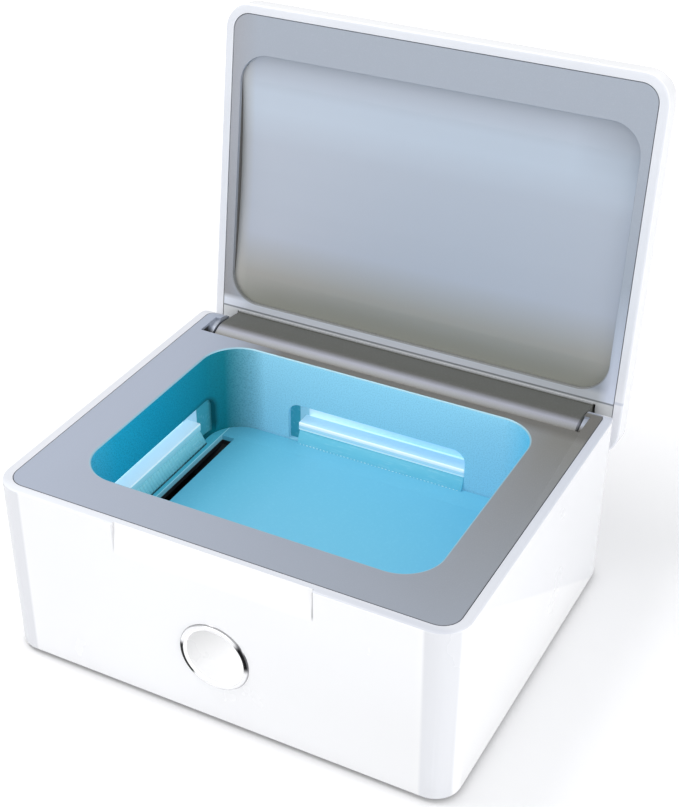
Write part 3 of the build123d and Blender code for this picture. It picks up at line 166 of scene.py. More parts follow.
class Finish(Maker):
    # a material in the making, with the sockets of its shader

    def __init__(self, name, **constants):
        self.material = bpy.data.materials.new(name)
        self.material.use_nodes = True
        super().__init__(self.material.node_tree)
        self.tree.nodes.clear()
        self.shader = self.add("ShaderNodeBsdfPrincipled")
        self.add("ShaderNodeOutputMaterial", None, {0: Wire(self, self.shader.outputs[0])})
        self.place = self.node("ShaderNodeTexCoord", output="Object")
        for socket, value in constants.items():
            self.set(socket.replace("_", " "), value)

    def set(self, socket, value):
        self.fill(self.shader.inputs[socket], value)

    def axes(self, names):
        # the coordinates that are asked for, such as XZ
        return [
            self.node("ShaderNodeSeparateXYZ", None, {0: self.place}, name) for name in names
        ]

    def upLid(self):
        # distance up the open lid from the hinge
        y, z = self.axes("YZ")
        return (z - hingeZ) * lidSine - (y - hingeY) * lidCosine

    def outOfLid(self):
        # distance out of the lid's inner face from the hinge, negative behind it
        y, z = self.axes("YZ")
        return (z - hingeZ) * -lidCosine - (y - hingeY) * lidSine

    def outline(self, across, along, half, radius):
        # distance from a rounded rectangle round zero, negative inside it
        sides = abs(across) - (half[0] - radius)
        ends = abs(along) - (half[1] - radius)
        outer = distance(sides.atLeast(0.0), ends.atLeast(0.0))
        return outer + sides.atLeast(ends).atMost(0.0) - radius

    def turn(self, rise, run):
        # angle in radians, from zero along run
        return self.node("ShaderNodeMath", {"operation": "ARCTAN2"}, {0: rise, 1: run})

    def stretched(self, scale):
        return self.node("ShaderNodeMapping", None, {"Vector": self.place, "Scale": scale})

    def noise(self, scale, detail=3.0, roughness=0.5, where=None):
        return self.node(
            "ShaderNodeTexNoise",
            None,
            {
                "Vector": where or self.place,
                "Scale": scale,
                "Detail": detail,
                "Roughness": roughness,
            },
        )

    def ramp(self, factor, stops):
        return self.node("ShaderNodeValToRGB", {"stops": stops}, {"Fac": factor})

    def blend(self, factor, first, second):
        # colours go through a Mix node, as a colour or as a link
        return self.node(
            "ShaderNodeMix",
            {"data_type": "RGBA"},
            {0: factor, 6: full(first), 7: full(second)},
            output=2,
        )

    def layers(self, tone, coats):
        # colours laid over a first one, each through its own mask
        for mask, colour in coats:
            tone = self.blend(mask, tone, colour)
        return tone

    def bump(self, height, depth, bite):
        relief = {"Height": height, "Distance": depth, "Strength": bite}
        self.set("Normal", self.node("ShaderNodeBump", None, relief))

    def surface(self, texture, roughness, spread, depth=0.0, bite=0.0):
        # roughness that varies with a texture, and the texture's relief where it has a depth
        self.set("Roughness", texture * spread + roughness)
        if depth:
            self.bump(texture, depth, bite)
        return self.material


def distance(first, second):
    return (first**2 + second**2).root()


def full(colour):
    return colour if isinstance(colour, Wire) else (*colour, 1)


def shown(red, green, blue):
    # colour as it looks on a screen with the usual curve
    return tuple(
        part / 255 / 12.92 if part < 11 else ((part / 255 + 0.055) / 1.055) ** 2.4
        for part in (red, green, blue)
    )


# the box and its rim
halfWidth, halfDepth = 60 * mm, 49.9 * mm
shellBottom, rimTop = 0.8 * mm, 49.3 * mm
cornerRadius, rimWidth = 7.25 * mm, 2.4 * mm
scoopHalf = 25.7 * mm

# the hinge and the open lid
hingeY, hingeZ = 42.9 * mm, 41.65 * mm
barrelRadius = 6.8 * mm
lidAngle = math.radians(97.6)
lidSine, lidCosine = math.sin(lidAngle), math.cos(lidAngle)
windowHalf, windowLow, windowHigh = 54.9 * mm, 10.3 * mm, 80.0 * mm

# the chamber, its lamps and the button
chamberHalf, chamberMiddle, chamberRadius = (45.8 * mm, 34.15 * mm), -1.85 * mm, 10 * mm
chamberFront, chamberBack = -36.0 * mm, 32.3 * mm
floorTop, barTop = 24.4 * mm, 30.4 * mm
buttonZ, capRadius = 20.2 * mm, 7.6 * mm


polish = {
    "peelScale": 900.0,
    "peelDepth": 0.02 * mm,
    "peelBite": 0.2,
    "hazeScale": 60.0,
    "hazeSpread": 0.08,
    "hazeCoat": 0.1,
}


def gloss(made, roughness, coat):
    # fine orange peel and a trace of haze in the gloss
    peel = made.noise(polish["peelScale"], detail=2.0)
    haze = made.noise(polish["hazeScale"], detail=4.0)
    made.bump(peel, polish["peelDepth"], polish["peelBite"])
    made.set("Coat Weight", haze * polish["hazeCoat"] + coat)
    return made.surface(haze, roughness, polish["hazeSpread"])


shell = {
    "whites": ((0.905, 0.91, 0.925), (0.89, 0.895, 0.91)),
    "cloudScale": 18.0,
    "cloud": (0.35, 0.7),
    "rightLitWhite": (0.93, 0.93, 0.935),
    "rightAcross": (50 * mm, 54 * mm),
    "slantShade": (0.86, 0.865, 0.885),
    "slantFall": 0.587,
    "slantHeight": (25.4 * mm, 26.4 * mm),
    "slantAcross": (56 * mm, 58 * mm),
    "lowShade": (0.80, 0.80, 0.80),
    "lowAmount": 0.6,
    "lowAcross": (-20 * mm, 45 * mm),
    "lowHeight": (10 * mm, 42 * mm),
    "lowDepth": (-49 * mm, -49.5 * mm),
    "cornerShade": (0.735, 0.745, 0.775),
    "cornerTurn": (0.4, 0.6),
    "cornerAcross": (51.6 * mm, 52.3 * mm),
    "cornerDepth": (-41 * mm, -42.5 * mm),
    "scoopLitWhite": (0.95, 0.95, 0.955),
    "scoopReach": (0.0, 0.1 * mm),
    "scoopHeight": (40.5 * mm, 42.5 * mm),
    "scoopDepth": (-45 * mm, -46 * mm),
    "endShadow": (0.42, 0.42, 0.44),
    "endReach": (0.1 * mm, 0.3 * mm),
    "endHeight": (41.0 * mm, 42.5 * mm),
    "endAcross": (-30 * mm, 30 * mm),
    "endLeast": 0.25,
    "lidTop": (0.75, 0.755, 0.765),
    "lidTopDepth": (-13.5 * mm, -15.0 * mm),
    "footShadow": (0.10, 0.10, 0.105),
    "footHeight": (shellBottom + 0.35 * mm, shellBottom + 0.55 * mm),
    "roughness": 0.22,
    "coat": 0.2,
}


def shellPlastic():
    # glossy white shell with painted light and shade: grey in the corners, dark along its foot and
    # beside the thumb scoop, lighter on its right side
    made = Finish("shellWhite", IOR=1.5, Coat_Roughness=0.14)
    x, y, z = made.axes("XYZ")
    side = abs(x)
    # right side: painted shade, greyer above a slant from its front top corner to its back foot
    slant = (z + y * shell["slantFall"]).fade(*shell["slantHeight"]) * x.fade(*shell["slantAcross"])
    # painted shade, low on the front and growing towards its right
    low = x.fade(*shell["lowAcross"]) * (1 - z.fade(*shell["lowHeight"]))
    low = low * y.fade(*shell["lowDepth"]) * shell["lowAmount"]
    # painted shade on the corners between the front and the sides
    bend = made.turn(cornerRadius - halfDepth - y, side - (halfWidth - cornerRadius))
    bend = bend.step(*shell["cornerTurn"]) * side.fade(*shell["cornerAcross"])
    bend = bend * y.fade(*shell["cornerDepth"])
    # thumb scoop, painted lighter inside for the light it catches, and the painted shadow at each
    # end of it
    front = y.fade(*shell["scoopDepth"])
    scoop = (scoopHalf - side).fade(*shell["scoopReach"]) * z.fade(*shell["scoopHeight"]) * front
    ends = side.near(scoopHalf, *shell["endReach"]) * z.fade(*shell["endHeight"]) * front
    ends = ends * (x.fade(*shell["endAcross"]) + shell["endLeast"])
    cloud = made.noise(shell["cloudScale"], detail=2.0).step(*shell["cloud"])
    tone = made.layers(
        made.blend(cloud, *shell["whites"]),
        [
            # painted light: the right side a lighter white
            (x.fade(*shell["rightAcross"]), shell["rightLitWhite"]),
            (slant, shell["slantShade"]),
            (low, shell["lowShade"]),
            (bend, shell["cornerShade"]),
            (scoop, shell["scoopLitWhite"]),
            (ends, shell["endShadow"]),
            # painted shade: the lid's outer face a darker white, to offset the light on its top
            (made.outOfLid().fade(*shell["lidTopDepth"]), shell["lidTop"]),
            # painted shadow line along the foot of the shell
            (1 - z.fade(*shell["footHeight"]), shell["footShadow"]),
        ],
    )
    made.set("Base Color", tone)
    return gloss(made, shell["roughness"], shell["coat"])


rim = {
    "whites": ((0.735, 0.75, 0.795), (0.71, 0.725, 0.77)),
    "cloudScale": 30.0,
    "cloud": (0.35, 0.7),
    "base": ((48.8 * mm, 49.0 * mm), (49.5 * mm, 49.8 * mm)),
    "frontShades": ((0.80, 0.82, 0.865), (0.63, 0.65, 0.71)),
    "frontAcross": (-50 * mm, 45 * mm),
    "frontDepth": (-48.5 * mm, -46.5 * mm),
    "rightTone": (0.55, 0.58, 0.65),
    "rightDepth": (-48 * mm, 45 * mm),
    "rightAcross": (55 * mm, 57 * mm),
    "roughness": 0.3,
    "coat": 0.15,
}


def rimPlastic():
    # cut top edge of the shells, with painted shade: cooler and darker than their sides
    made = Finish("rimWhite", IOR=1.5, Coat_Roughness=0.08)
    x, y, z = made.axes("XYZ")
    # painted shade darkens the base's own rim along its front and its right side
    base = z.within(*rim["base"])
    front = base * (1 - y.fade(*rim["frontDepth"]))
    right = y.fade(*rim["rightDepth"]) * x.fade(*rim["rightAcross"]) * base
    cloud = made.noise(rim["cloudScale"], detail=2.0).step(*rim["cloud"])
    tone = made.layers(
        made.blend(cloud, *rim["whites"]),
        [
            (front, made.blend(x.fade(*rim["frontAcross"]), *rim["frontShades"])),
            (right, rim["rightTone"]),
        ],
    )
    made.set("Base Color", tone)
    return gloss(made, rim["roughness"], rim["coat"])


cap = {
    "shade": (-9 * mm, 9 * mm),
    "stops": [(0.0, (0.93,) * 3), (0.45, (0.91,) * 3), (1.0, (0.70,) * 3)],
    "glow": (0.38, 0.38, 0.39),
    "glowEdge": (capRadius - 0.08 * mm, capRadius - 0.02 * mm),
    "roughness": 0.24,
    "coat": 0.15,
}


def capPlastic():
    # domed cap with painted shade, greyer at its upper left, and a painted glow on its edge so the
    # gap beside it reads light
    made = Finish("capWhite", IOR=1.5, Coat_Roughness=0.06, Emission_Strength=1.0)
    x, z = made.axes("XZ")
    rise = z - buttonZ
    made.set("Base Color", made.ramp((rise - x).fade(*cap["shade"]), cap["stops"]))
    # painted glow round the cap's edge
    edge = distance(x, rise).fade(*cap["glowEdge"])
    made.set("Emission Color", made.blend(edge, (0, 0, 0), cap["glow"]))
    return gloss(made, cap["roughness"], cap["coat"])


frameLine = {
    "reach": (-0.32 * mm, -0.2 * mm),
    "amount": 0.8,
}


def frameEdge(made, across, along):
    # thin line where a silver frame meets the white rim round it
    half = (halfWidth - rimWidth, halfDepth - rimWidth)
    edge = made.outline(across, along, half, cornerRadius - rimWidth)
    return edge.fade(*frameLine["reach"]) * frameLine["amount"]


silver = {
    "flake": (0.80, 0.82, 0.86),
    "flakeScale": 4200.0,
    "flakeStep": (0.5, 0.8),
    "flakeAmount": 0.08,
}


def silverPaint(made, tone, roughness):
    # satin metallic paint: flakes show in its colour and gloss
    flakes = made.noise(silver["flakeScale"], detail=1.0)
    sparks = flakes.step(*silver["flakeStep"]) * silver["flakeAmount"]
    made.set("Base Color", made.blend(sparks, tone, silver["flake"]))
    return made.surface(flakes, roughness, spread=0.1, depth=0.01 * mm, bite=0.25)


deck = {
    "tones": (shown(174, 182, 198), shown(158, 164, 174)),
    "across": (-52 * mm, 50 * mm),
    "rightReflection": shown(140, 139, 134),
    "rightAcross": (25 * mm, 50 * mm),
    "rightDepth": (-46 * mm, 28 * mm),
    "backShade": shown(120, 118, 113),
    "backDepth": (30 * mm, 33 * mm),
    "backAcross": (-42 * mm, -28 * mm),
    "cutBlue": shown(160, 200, 214),
    "cutReach": (0.3 * mm, 0.5 * mm),
    "edgeGrey": shown(95, 98, 104),
    "wallLitGrey": shown(176, 182, 194),
    "wallHeight": (49.0 * mm, 49.15 * mm),
    "wallDepth": (39 * mm, 40.5 * mm),
    "pitShadow": shown(50, 48, 44),
    "pitHeight": (48.4 * mm, 48.8 * mm),
    "pitDepth": ((33.5 * mm, 34 * mm), (38.5 * mm, 40 * mm)),
    "roughness": 0.38,
}


def deckPaint():
    # painted reflections: cool at the left front, grey at the right back, and painted shade in
    # brown behind the opening
    made = Finish("deckSilver", Metallic=0.4, IOR=1.5)
    x, y, z = made.axes("XYZ")
    cut = made.outline(x, y - chamberMiddle, chamberHalf, chamberRadius)
    tone = made.layers(
        made.blend(x.fade(*deck["across"]), *deck["tones"]),
        [
            (x.fade(*deck["rightAcross"]) * y.fade(*deck["rightDepth"]), deck["rightReflection"]),
            (y.fade(*deck["backDepth"]) * x.fade(*deck["backAcross"]), deck["backShade"]),
            (1 - cut.fade(*deck["cutReach"]), deck["cutBlue"]),
            (frameEdge(made, x, y), deck["edgeGrey"]),
            # end wall of the hinge's trough painted lighter against its shade, and a painted shadow
            # in the pit in front of it
            ((1 - z.fade(*deck["wallHeight"])) * y.fade(*deck["wallDepth"]), deck["wallLitGrey"]),
            ((1 - z.fade(*deck["pitHeight"])) * y.within(*deck["pitDepth"]), deck["pitShadow"]),
        ],
    )
    return silverPaint(made, tone, deck["roughness"])


liner = {
    "tone": shown(163, 170, 181),
    "leftShades": (shown(146, 146, 149), shown(161, 163, 170)),
    "leftAcross": (-57 * mm, -50 * mm),
    "leftUp": (8 * mm, 60 * mm),
    "leftGone": (-50 * mm, 0.0),
    "rightTone": shown(216, 223, 240),
    "rightAcross": (53 * mm, 56 * mm),
    "rightUp": (9 * mm, 40 * mm),
    "stripLitTones": (shown(214, 219, 229), shown(196, 201, 208)),
    "stripAcross": (10 * mm, 52 * mm),
    "stripEnd": shown(209, 216, 231),
    "stripEndAcross": (53 * mm, 55.5 * mm),
    "stripUp": (10 * mm, 11.5 * mm),
    "windowRadius": 8 * mm,
    "windowLine": shown(128, 129, 126),
    "windowReach": (0.15 * mm, 0.4 * mm),
    "windowUp": (12 * mm, 20 * mm),
    "beadHighlight": shown(205, 207, 209),
    "beadUp": (7.6 * mm, 7.75 * mm),
    "grooveShadow": shown(112, 116, 118),
    "groovePlace": 7.95 * mm,
    "grooveReach": (0.12 * mm, 0.34 * mm),
    "lineAmount": 0.85,
    "edgeGrey": shown(120, 126, 134),
    "roughness": 0.4,
}


def linerPaint():
    # satin silver with painted shade at the lower left and a painted highlight at the lower right
    made = Finish("linerSilver", Metallic=0.4, IOR=1.5)
    x, up = made.axes("X")[0], made.upLid()
    across = x.fade(*liner["leftAcross"])
    low, high = (made.blend(across, tone, liner["tone"]) for tone in liner["leftShades"])
    strip = made.blend(x.fade(*liner["stripAcross"]), *liner["stripLitTones"])
    strip = made.blend(x.fade(*liner["stripEndAcross"]), strip, liner["stripEnd"])
    middle, half = (windowHigh + windowLow) / 2, (windowHigh - windowLow) / 2
    window = made.outline(x, up - middle, (windowHalf, half), liner["windowRadius"])
    line = (1 - window.fade(*liner["windowReach"])) * (1 - up.fade(*liner["windowUp"]))
    groove = up.near(liner["groovePlace"], *liner["grooveReach"])
    tone = made.layers(
        made.blend(up.fade(*liner["leftUp"]) + x.fade(*liner["leftGone"]), low, high),
        [
            # painted highlight at the lower right
            ((1 - up.fade(*liner["rightUp"])) * x.fade(*liner["rightAcross"]), liner["rightTone"]),
            # strip under the window painted bright against its shade, then a painted shadow in the
            # groove and a painted highlight on the bead against the barrel
            (1 - up.fade(*liner["stripUp"]), strip),
            (line * liner["lineAmount"], liner["windowLine"]),
            (1 - up.fade(*liner["beadUp"]), liner["beadHighlight"]),
            (groove * liner["lineAmount"], liner["grooveShadow"]),
            (frameEdge(made, x, up - hingeY), liner["edgeGrey"]),
        ],
    )
    return silverPaint(made, tone, liner["roughness"])


barrel = {
    # angles in radians round the barrel, from its front: painted shade either side of a painted
    # highlight band
    "arc": (0.7, 1.7),
    "stops": [
        (0.0, shown(105, 103, 96)),
        (0.16, shown(113, 111, 105)),
        (0.34, shown(142, 144, 147)),
        (0.50, shown(161, 163, 174)),
        (0.62, shown(140, 141, 147)),
        (0.78, shown(104, 104, 101)),
        (1.0, shown(102, 103, 98)),
    ],
    "beadHighlight": shown(174, 176, 178),
    "beadUp": (barrelRadius + 0.1 * mm, barrelRadius + 0.3 * mm),
    "roughness": 0.44,
}


def barrelPaint():
    # brown-grey with a painted highlight band along the barrel and a painted highlight on the bead
    # against the liner
    made = Finish("barrelSilver", Metallic=0.4, IOR=1.5)
    y, z = made.axes("YZ")
    tone = made.ramp(made.turn(z - hingeZ, hingeY - y).fade(*barrel["arc"]), barrel["stops"])
    tone = made.blend(made.upLid().fade(*barrel["beadUp"]), tone, barrel["beadHighlight"])
    return silverPaint(made, tone, barrel["roughness"])


chamber = {
    # painted shade down the left wall, from front to back
    "leftShadeStops": [
        (0.0, shown(70, 172, 200)),
        (0.25, shown(20, 158, 190)),
        (0.5, shown(0, 143, 173)),
        (0.8, shown(0, 128, 148)),
        (1.0, shown(10, 114, 122)),
    ],
    "leftAcross": (-43.5 * mm, -33 * mm),
    "restTones": (shown(153, 214, 236), shown(84, 184, 220)),
    "restAcross": (36 * mm, 45.5 * mm),
    "lampHalf": (25.9 * mm, 5.7 * mm),
    "lampRadius": 3.5 * mm,
    "lampLine": shown(6, 70, 74),
    "lampReach": (0.1 * mm, 1.3 * mm),
    "lampDepth": (8 * mm, 22 * mm),
    "lampAcross": (-44 * mm, -45 * mm),
    "lampAmount": 0.75,
    "speckle": shown(0, 90, 108),
    "speckleScale": 2600.0,
    "speckleStep": (0.42, 0.66),
    "speckleAmount": 0.5,
    "speckleLoss": 0.34,
    "speckleAcross": (-43 * mm, -31 * mm),
}


def chamberPlastic():
    # blue satin plastic with painted shade and a faint painted glow: deep on the left wall, darkest
    # in the back left corner, pale behind
    made = Finish("chamberPlastic", IOR=1.46, Emission_Strength=0.15, Specular_IOR_Level=0.3)
    x, y, z = made.axes("XYZ")
    left = made.ramp(y.fade(chamberFront, chamberBack), chamber["leftShadeStops"])
    rest = made.blend(x.fade(*chamber["restAcross"]), *chamber["restTones"])
    # shadow line round the far end of the side lamp window
    half = chamber["lampHalf"]
    window = made.outline(y, z - (floorTop + half[1]), half, chamber["lampRadius"])
    line = (1 - window.fade(*chamber["lampReach"])) * y.fade(*chamber["lampDepth"])
    line = line * x.fade(*chamber["lampAcross"]) * chamber["lampAmount"]
    tone = made.blend(x.fade(*chamber["leftAcross"]), left, rest)
    tone = made.blend(line, tone, chamber["lampLine"])
    # the chamber's tone also as a faint painted glow
    made.set("Emission Color", tone)
    speckle = made.noise(chamber["speckleScale"], detail=2.0, roughness=0.7)
    amount = chamber["speckleAmount"] - x.fade(*chamber["speckleAcross"]) * chamber["speckleLoss"]
    amount = speckle.step(*chamber["speckleStep"]) * amount
    made.set("Base Color", made.blend(amount, tone, chamber["speckle"]))
    return made.surface(speckle, roughness=0.42, spread=0.2, depth=0.03 * mm, bite=0.35)


floorPlate = {
    "tones": (shown(86, 172, 196), shown(108, 184, 211)),
    "across": (-45 * mm, -15 * mm),
    "stripTone": shown(76, 176, 198),
    "stripAcross": (-42.65 * mm, -42.75 * mm),
    "slotEdge": -42.75 * mm,
    "slotReach": (0.08 * mm, 0.22 * mm),
    "slotHighlight": shown(165, 226, 238),
    "slotAmount": 0.8,
    "speckle": shown(150, 212, 232),
    "speckleScale": 1500.0,
    "speckleStep": (0.52, 0.66),
    "speckleAmount": 0.08,
    "cloudScale": 40.0,
}


def floorPlastic():
    # blue satin floor with a faint painted glow, and painted shade making it a little deeper at the
    # left
    made = Finish("floorPlastic", IOR=1.46, Emission_Strength=0.15, Specular_IOR_Level=0.4)
    (x,) = made.axes("X")
    edge = x.near(floorPlate["slotEdge"], *floorPlate["slotReach"]) * floorPlate["slotAmount"]
    tone = made.layers(
        made.blend(x.fade(*floorPlate["across"]), *floorPlate["tones"]),
        [
            # strip between the side lamp and the air slot, with a painted highlight on the edge at
            # the slot
            (x.fade(*floorPlate["stripAcross"]), floorPlate["stripTone"]),
            (edge, floorPlate["slotHighlight"]),
        ],
    )
    # the floor's tone also as a faint painted glow
    made.set("Emission Color", tone)
    speckle = made.noise(floorPlate["speckleScale"], detail=2.0, roughness=0.6)
    amount = speckle.step(*floorPlate["speckleStep"]) * floorPlate["speckleAmount"]
    made.set("Base Color", made.blend(amount, tone, floorPlate["speckle"]))
    made.bump(speckle, depth=0.03 * mm, bite=0.4)
    cloud = made.noise(floorPlate["cloudScale"], detail=2.0)
    return made.surface(cloud, roughness=0.3, spread=0.15)


lamps = {
    # tones by height from the floor to the top of the bar, with a painted shadow at the side lamp's
    # foot and painted highlight bands along the ridge and top edges
    "sideLamp": [
        (0.0, shown(2, 26, 30)),
        (0.05, shown(4, 40, 44)),
        (0.09, shown(96, 166, 178)),
        (0.3, shown(112, 184, 198)),
        (0.6, shown(134, 202, 214)),
        (0.93, shown(160, 214, 226)),
        (0.95, shown(226, 246, 248)),
        (0.985, shown(226, 246, 248)),
        (1.0, shown(205, 230, 240)),
    ],
    "backLamp": [
        (0.0, shown(108, 190, 212)),
        (0.58, shown(112, 194, 214)),
        (0.605, shown(226, 248, 252)),
        (0.67, shown(226, 248, 252)),
        (0.71, shown(176, 218, 236)),
        (0.84, shown(196, 228, 242)),
        (0.88, shown(250, 254, 254)),
        (0.985, shown(248, 253, 253)),
        (1.0, shown(188, 220, 236)),
    ],
    "streak": shown(215, 240, 245),
    "streakScale": 40.0,
    "streakStretch": (6, 6, 60),
    "streakStep": (0.5, 0.7),
    "streakAmount": 0.15,
}


def lampPlastic(name):
    # frosted light guide, glowing a little
    made = Finish(name, IOR=1.49, Emission_Strength=0.25)
    (z,) = made.axes("Z")
    body = made.ramp((z - floorTop) / (barTop - floorTop), lamps[name])
    where = made.stretched(lamps["streakStretch"])
    streak = made.noise(lamps["streakScale"], roughness=0.6, where=where)
    amount = streak.step(*lamps["streakStep"]) * lamps["streakAmount"]
    made.set("Emission Color", body)
    made.set("Base Color", made.blend(amount, body, lamps["streak"]))
    return made.surface(streak, roughness=0.25, spread=0.2, depth=0.08 * mm, bite=0.4)


tray = {
    "backDepth": (31 * mm, 32 * mm),
    "backTones": (shown(214, 236, 246), shown(176, 218, 238)),
    "backAcross": (-22 * mm, 10 * mm),
    "sideTones": (shown(204, 228, 242), shown(56, 144, 160)),
    "sideDepth": (19.45 * mm, 19.6 * mm),
    "gapShadow": shown(50, 140, 160),
    "gapAcross": (-22.6 * mm, -22.9 * mm),
    "speckle": shown(180, 228, 240),
    "speckleScale": 900.0,
    "speckleStep": (0.5, 0.7),
    "speckleAmount": 0.15,
}


def lampTray():
    # tray and socket behind a lamp window, with a painted glow for the lamp's light on them
    made = Finish("lampTray", IOR=1.46, Emission_Strength=0.3)
    x, y = made.axes("XY")
    back = y.fade(*tray["backDepth"])
    tone = made.layers(
        made.blend(y.fade(*tray["sideDepth"]), *tray["sideTones"]),
        [
            (back, made.blend(x.fade(*tray["backAcross"]), *tray["backTones"])),
            # painted shadow in the gap at the left end of the back lamp
            (back * x.fade(*tray["gapAcross"]), tray["gapShadow"]),
        ],
    )
    speckle = made.noise(tray["speckleScale"], detail=2.0)
    amount = speckle.step(*tray["speckleStep"]) * tray["speckleAmount"]
    # painted glow for the lamp's light on the tray
    made.set("Emission Color", tone)
    made.set("Base Color", made.blend(amount, tone, tray["speckle"]))
    return made.surface(speckle, roughness=0.4, spread=0.2)


mirror = {
    # painted reflection tones up the window, from the hinge to its head
    "stops": [
        (0.0, shown(152, 153, 144)),
        (0.13, shown(160, 159, 155)),
        (0.29, shown(176, 182, 194)),
        (0.65, shown(181, 188, 200)),
        (0.79, shown(189, 199, 212)),
        (0.86, shown(188, 198, 211)),
        (0.95, shown(172, 179, 191)),
        (1.0, shown(158, 165, 176)),
    ],
    "leftSlopeLight": shown(180, 178, 173),
    "leftAcross": (-51 * mm, -windowHalf),
    "leftAmount": 0.8,
    "cornerShadeTone": shown(142, 148, 158),
    "cornerAcross": (38 * mm, 54 * mm),
    "cornerUp": (60 * mm, 76 * mm),
    "cornerAmount": 0.6,
    "rootShadow": shown(100, 97, 94),
    "rootAcross": (-windowHalf + 0.12 * mm, -windowHalf + 0.04 * mm),
    "lineScale": 240.0,
    "lineStretch": (0.02, 1, 1),
}


def mirrorFilm():
    # pressed reflector: satin film with painted reflections, a light band near its head and warm
    # grey towards the hinge
    made = Finish("mirrorFilm", Metallic=0.35, IOR=1.5)
    x, up = made.axes("X")[0], made.upLid()
    corner = x.fade(*mirror["cornerAcross"]) * up.fade(*mirror["cornerUp"])
    tone = made.layers(
        made.ramp(up.fade(windowLow, windowHigh), mirror["stops"]),
        [
            # painted light on the left slope
            (x.fade(*mirror["leftAcross"]) * mirror["leftAmount"], mirror["leftSlopeLight"]),
            # painted shade at the top right corner
            (corner * mirror["cornerAmount"], mirror["cornerShadeTone"]),
            # painted shade on the reflector's left side wall
            (x.fade(*mirror["rootAcross"]), mirror["rootShadow"]),
        ],
    )
    made.set("Base Color", tone)
    where = made.stretched(mirror["lineStretch"])
    lines = made.noise(mirror["lineScale"], detail=2.0, where=where)
    return made.surface(lines, roughness=0.38, spread=0.12, depth=0.02 * mm, bite=0.3)


ring = {
    "white": (0.96, 0.96, 0.97),
    "black": (0.012, 0.012, 0.013),
    "blackTurn": 0.7,
    "blackReach": (0.5, 0.85),
    "leftAcross": (-4 * mm, -6 * mm),
    "leftGain": 0.22,
    "lipWhite": (0.92, 0.92, 0.92),
    "lipReach": (8.0 * mm, 8.15 * mm),
    "glow": (0.38, 0.38, 0.39),
    "glowReach": (7.82 * mm, 7.9 * mm),
    "edgeGrey": (0.25, 0.25, 0.26),
    "edgeReach": (8.85 * mm, 9.1 * mm),
    "edgeAmount": 0.7,
    "scuffScale": 260.0,
}


def chromeRing():
    # polished ring: painted black reflections across from each other and a grey outer edge
    made = Finish("chromeTrim", IOR=1.5, Emission_Strength=1.0)
    x, z = made.axes("XZ")
    rise = z - buttonZ
    reach = distance(x, rise)
    paintedReflections = (made.turn(rise, x) * 2.0 - ring["blackTurn"]).cosine()
    paintedReflections = paintedReflections + x.fade(*ring["leftAcross"]) * ring["leftGain"]
    tone = made.blend(paintedReflections.step(*ring["blackReach"]), ring["white"], ring["black"])
    # its inner lip is painted matt white for the reflection of the cap in it
    lip = reach.fade(*ring["lipReach"])
    edge = reach.fade(*ring["edgeReach"]) * ring["edgeAmount"]
    tone = made.blend(lip, ring["lipWhite"], tone)
    made.set("Metallic", lip)
    made.set("Base Color", made.blend(edge, tone, ring["edgeGrey"]))
    # painted glow on the ring's inner wall, so the gap beside the cap reads light
    glow = reach.fade(*ring["glowReach"])
    made.set("Emission Color", made.blend(glow, ring["glow"], (0, 0, 0)))
    scuff = made.noise(ring["scuffScale"], detail=2.0)
    return made.surface(scuff, roughness=0.12, spread=0.08, depth=0.005 * mm, bite=0.1)


def paler(colour, gain, lift=0.0):
    return tuple(min(1.0, part * gain + lift) for part in colour)


def metal(name, colour, roughness, grain=(1, 1, 30)):
    # plated or turned metal with a directional grain
    made = Finish(name, Metallic=1.0, IOR=1.5)
    lines = made.noise(400.0, roughness=0.6, where=made.stretched(grain))
    tone = made.blend(lines.step(0.35, 0.7), colour, paler(colour, gain=1.12))
    made.set("Base Color", tone)
    return made.surface(lines, roughness, spread=0.12, depth=0.01 * mm, bite=0.2)


def moulded(name, colour, roughness, scale=1400.0):
    # matte moulded plastic or rubber with a spark-eroded grain
    made = Finish(name, IOR=1.48)
    wear = made.noise(80.0).step(0.45, 0.8) * 0.6
    made.set("Base Color", made.blend(wear, colour, paler(colour, gain=1.35, lift=0.01)))
    grain = made.noise(scale, roughness=0.6)
    return made.surface(grain, roughness, spread=0.15, depth=0.05 * mm, bite=0.5)


tracks = {
    "Scale": 160.0,
    "Mortar Size": 0.06,
    "Mortar Smooth": 0.3,
}


def circuitBoard(name, base, light, track, glow=0.0):
    # solder mask over copper tracks
    made = Finish(
        name, IOR=1.5, Coat_Roughness=0.2, Emission_Strength=glow, Emission_Color=full(light)
    )
    copper = made.node("ShaderNodeTexBrick", None, {"Vector": made.place, **tracks}, output=1)
    speckle = made.noise(700.0, detail=2.0)
    mask = made.blend(speckle.step(0.4, 0.7), base, light)
    made.set("Base Color", made.blend(copper * 0.7, mask, track))
    made.set("Coat Weight", speckle * 0.2 + 0.3)
    made.bump(copper, depth=0.04 * mm, bite=0.4)
    return made.surface(speckle, roughness=0.3, spread=0.15)


heater = {
    "amber": (0.45, 0.18, 0.03),
    "track": (0.60, 0.40, 0.22),
    "pitch": 90.0,
}


def heaterFilm():
    # amber film with a serpentine track under it
    made = Finish("heaterFilm", IOR=1.5)
    bands = made.node(
        "ShaderNodeTexWave",
        {"bands_direction": "X"},
        {"Vector": made.place, "Scale": heater["pitch"]},
    )
    made.set("Base Color", made.blend(bands.step(0.5, 0.6), heater["amber"], heater["track"]))
    return made.surface(made.noise(500.0, detail=2.0), roughness=0.25, spread=0.2)


boardTones = (0.015, 0.11, 0.05), (0.02, 0.15, 0.07), (0.06, 0.26, 0.12)
lampBoardTones = (0.62, 0.82, 0.90), (0.66, 0.85, 0.92), (0.7, 0.88, 0.93)

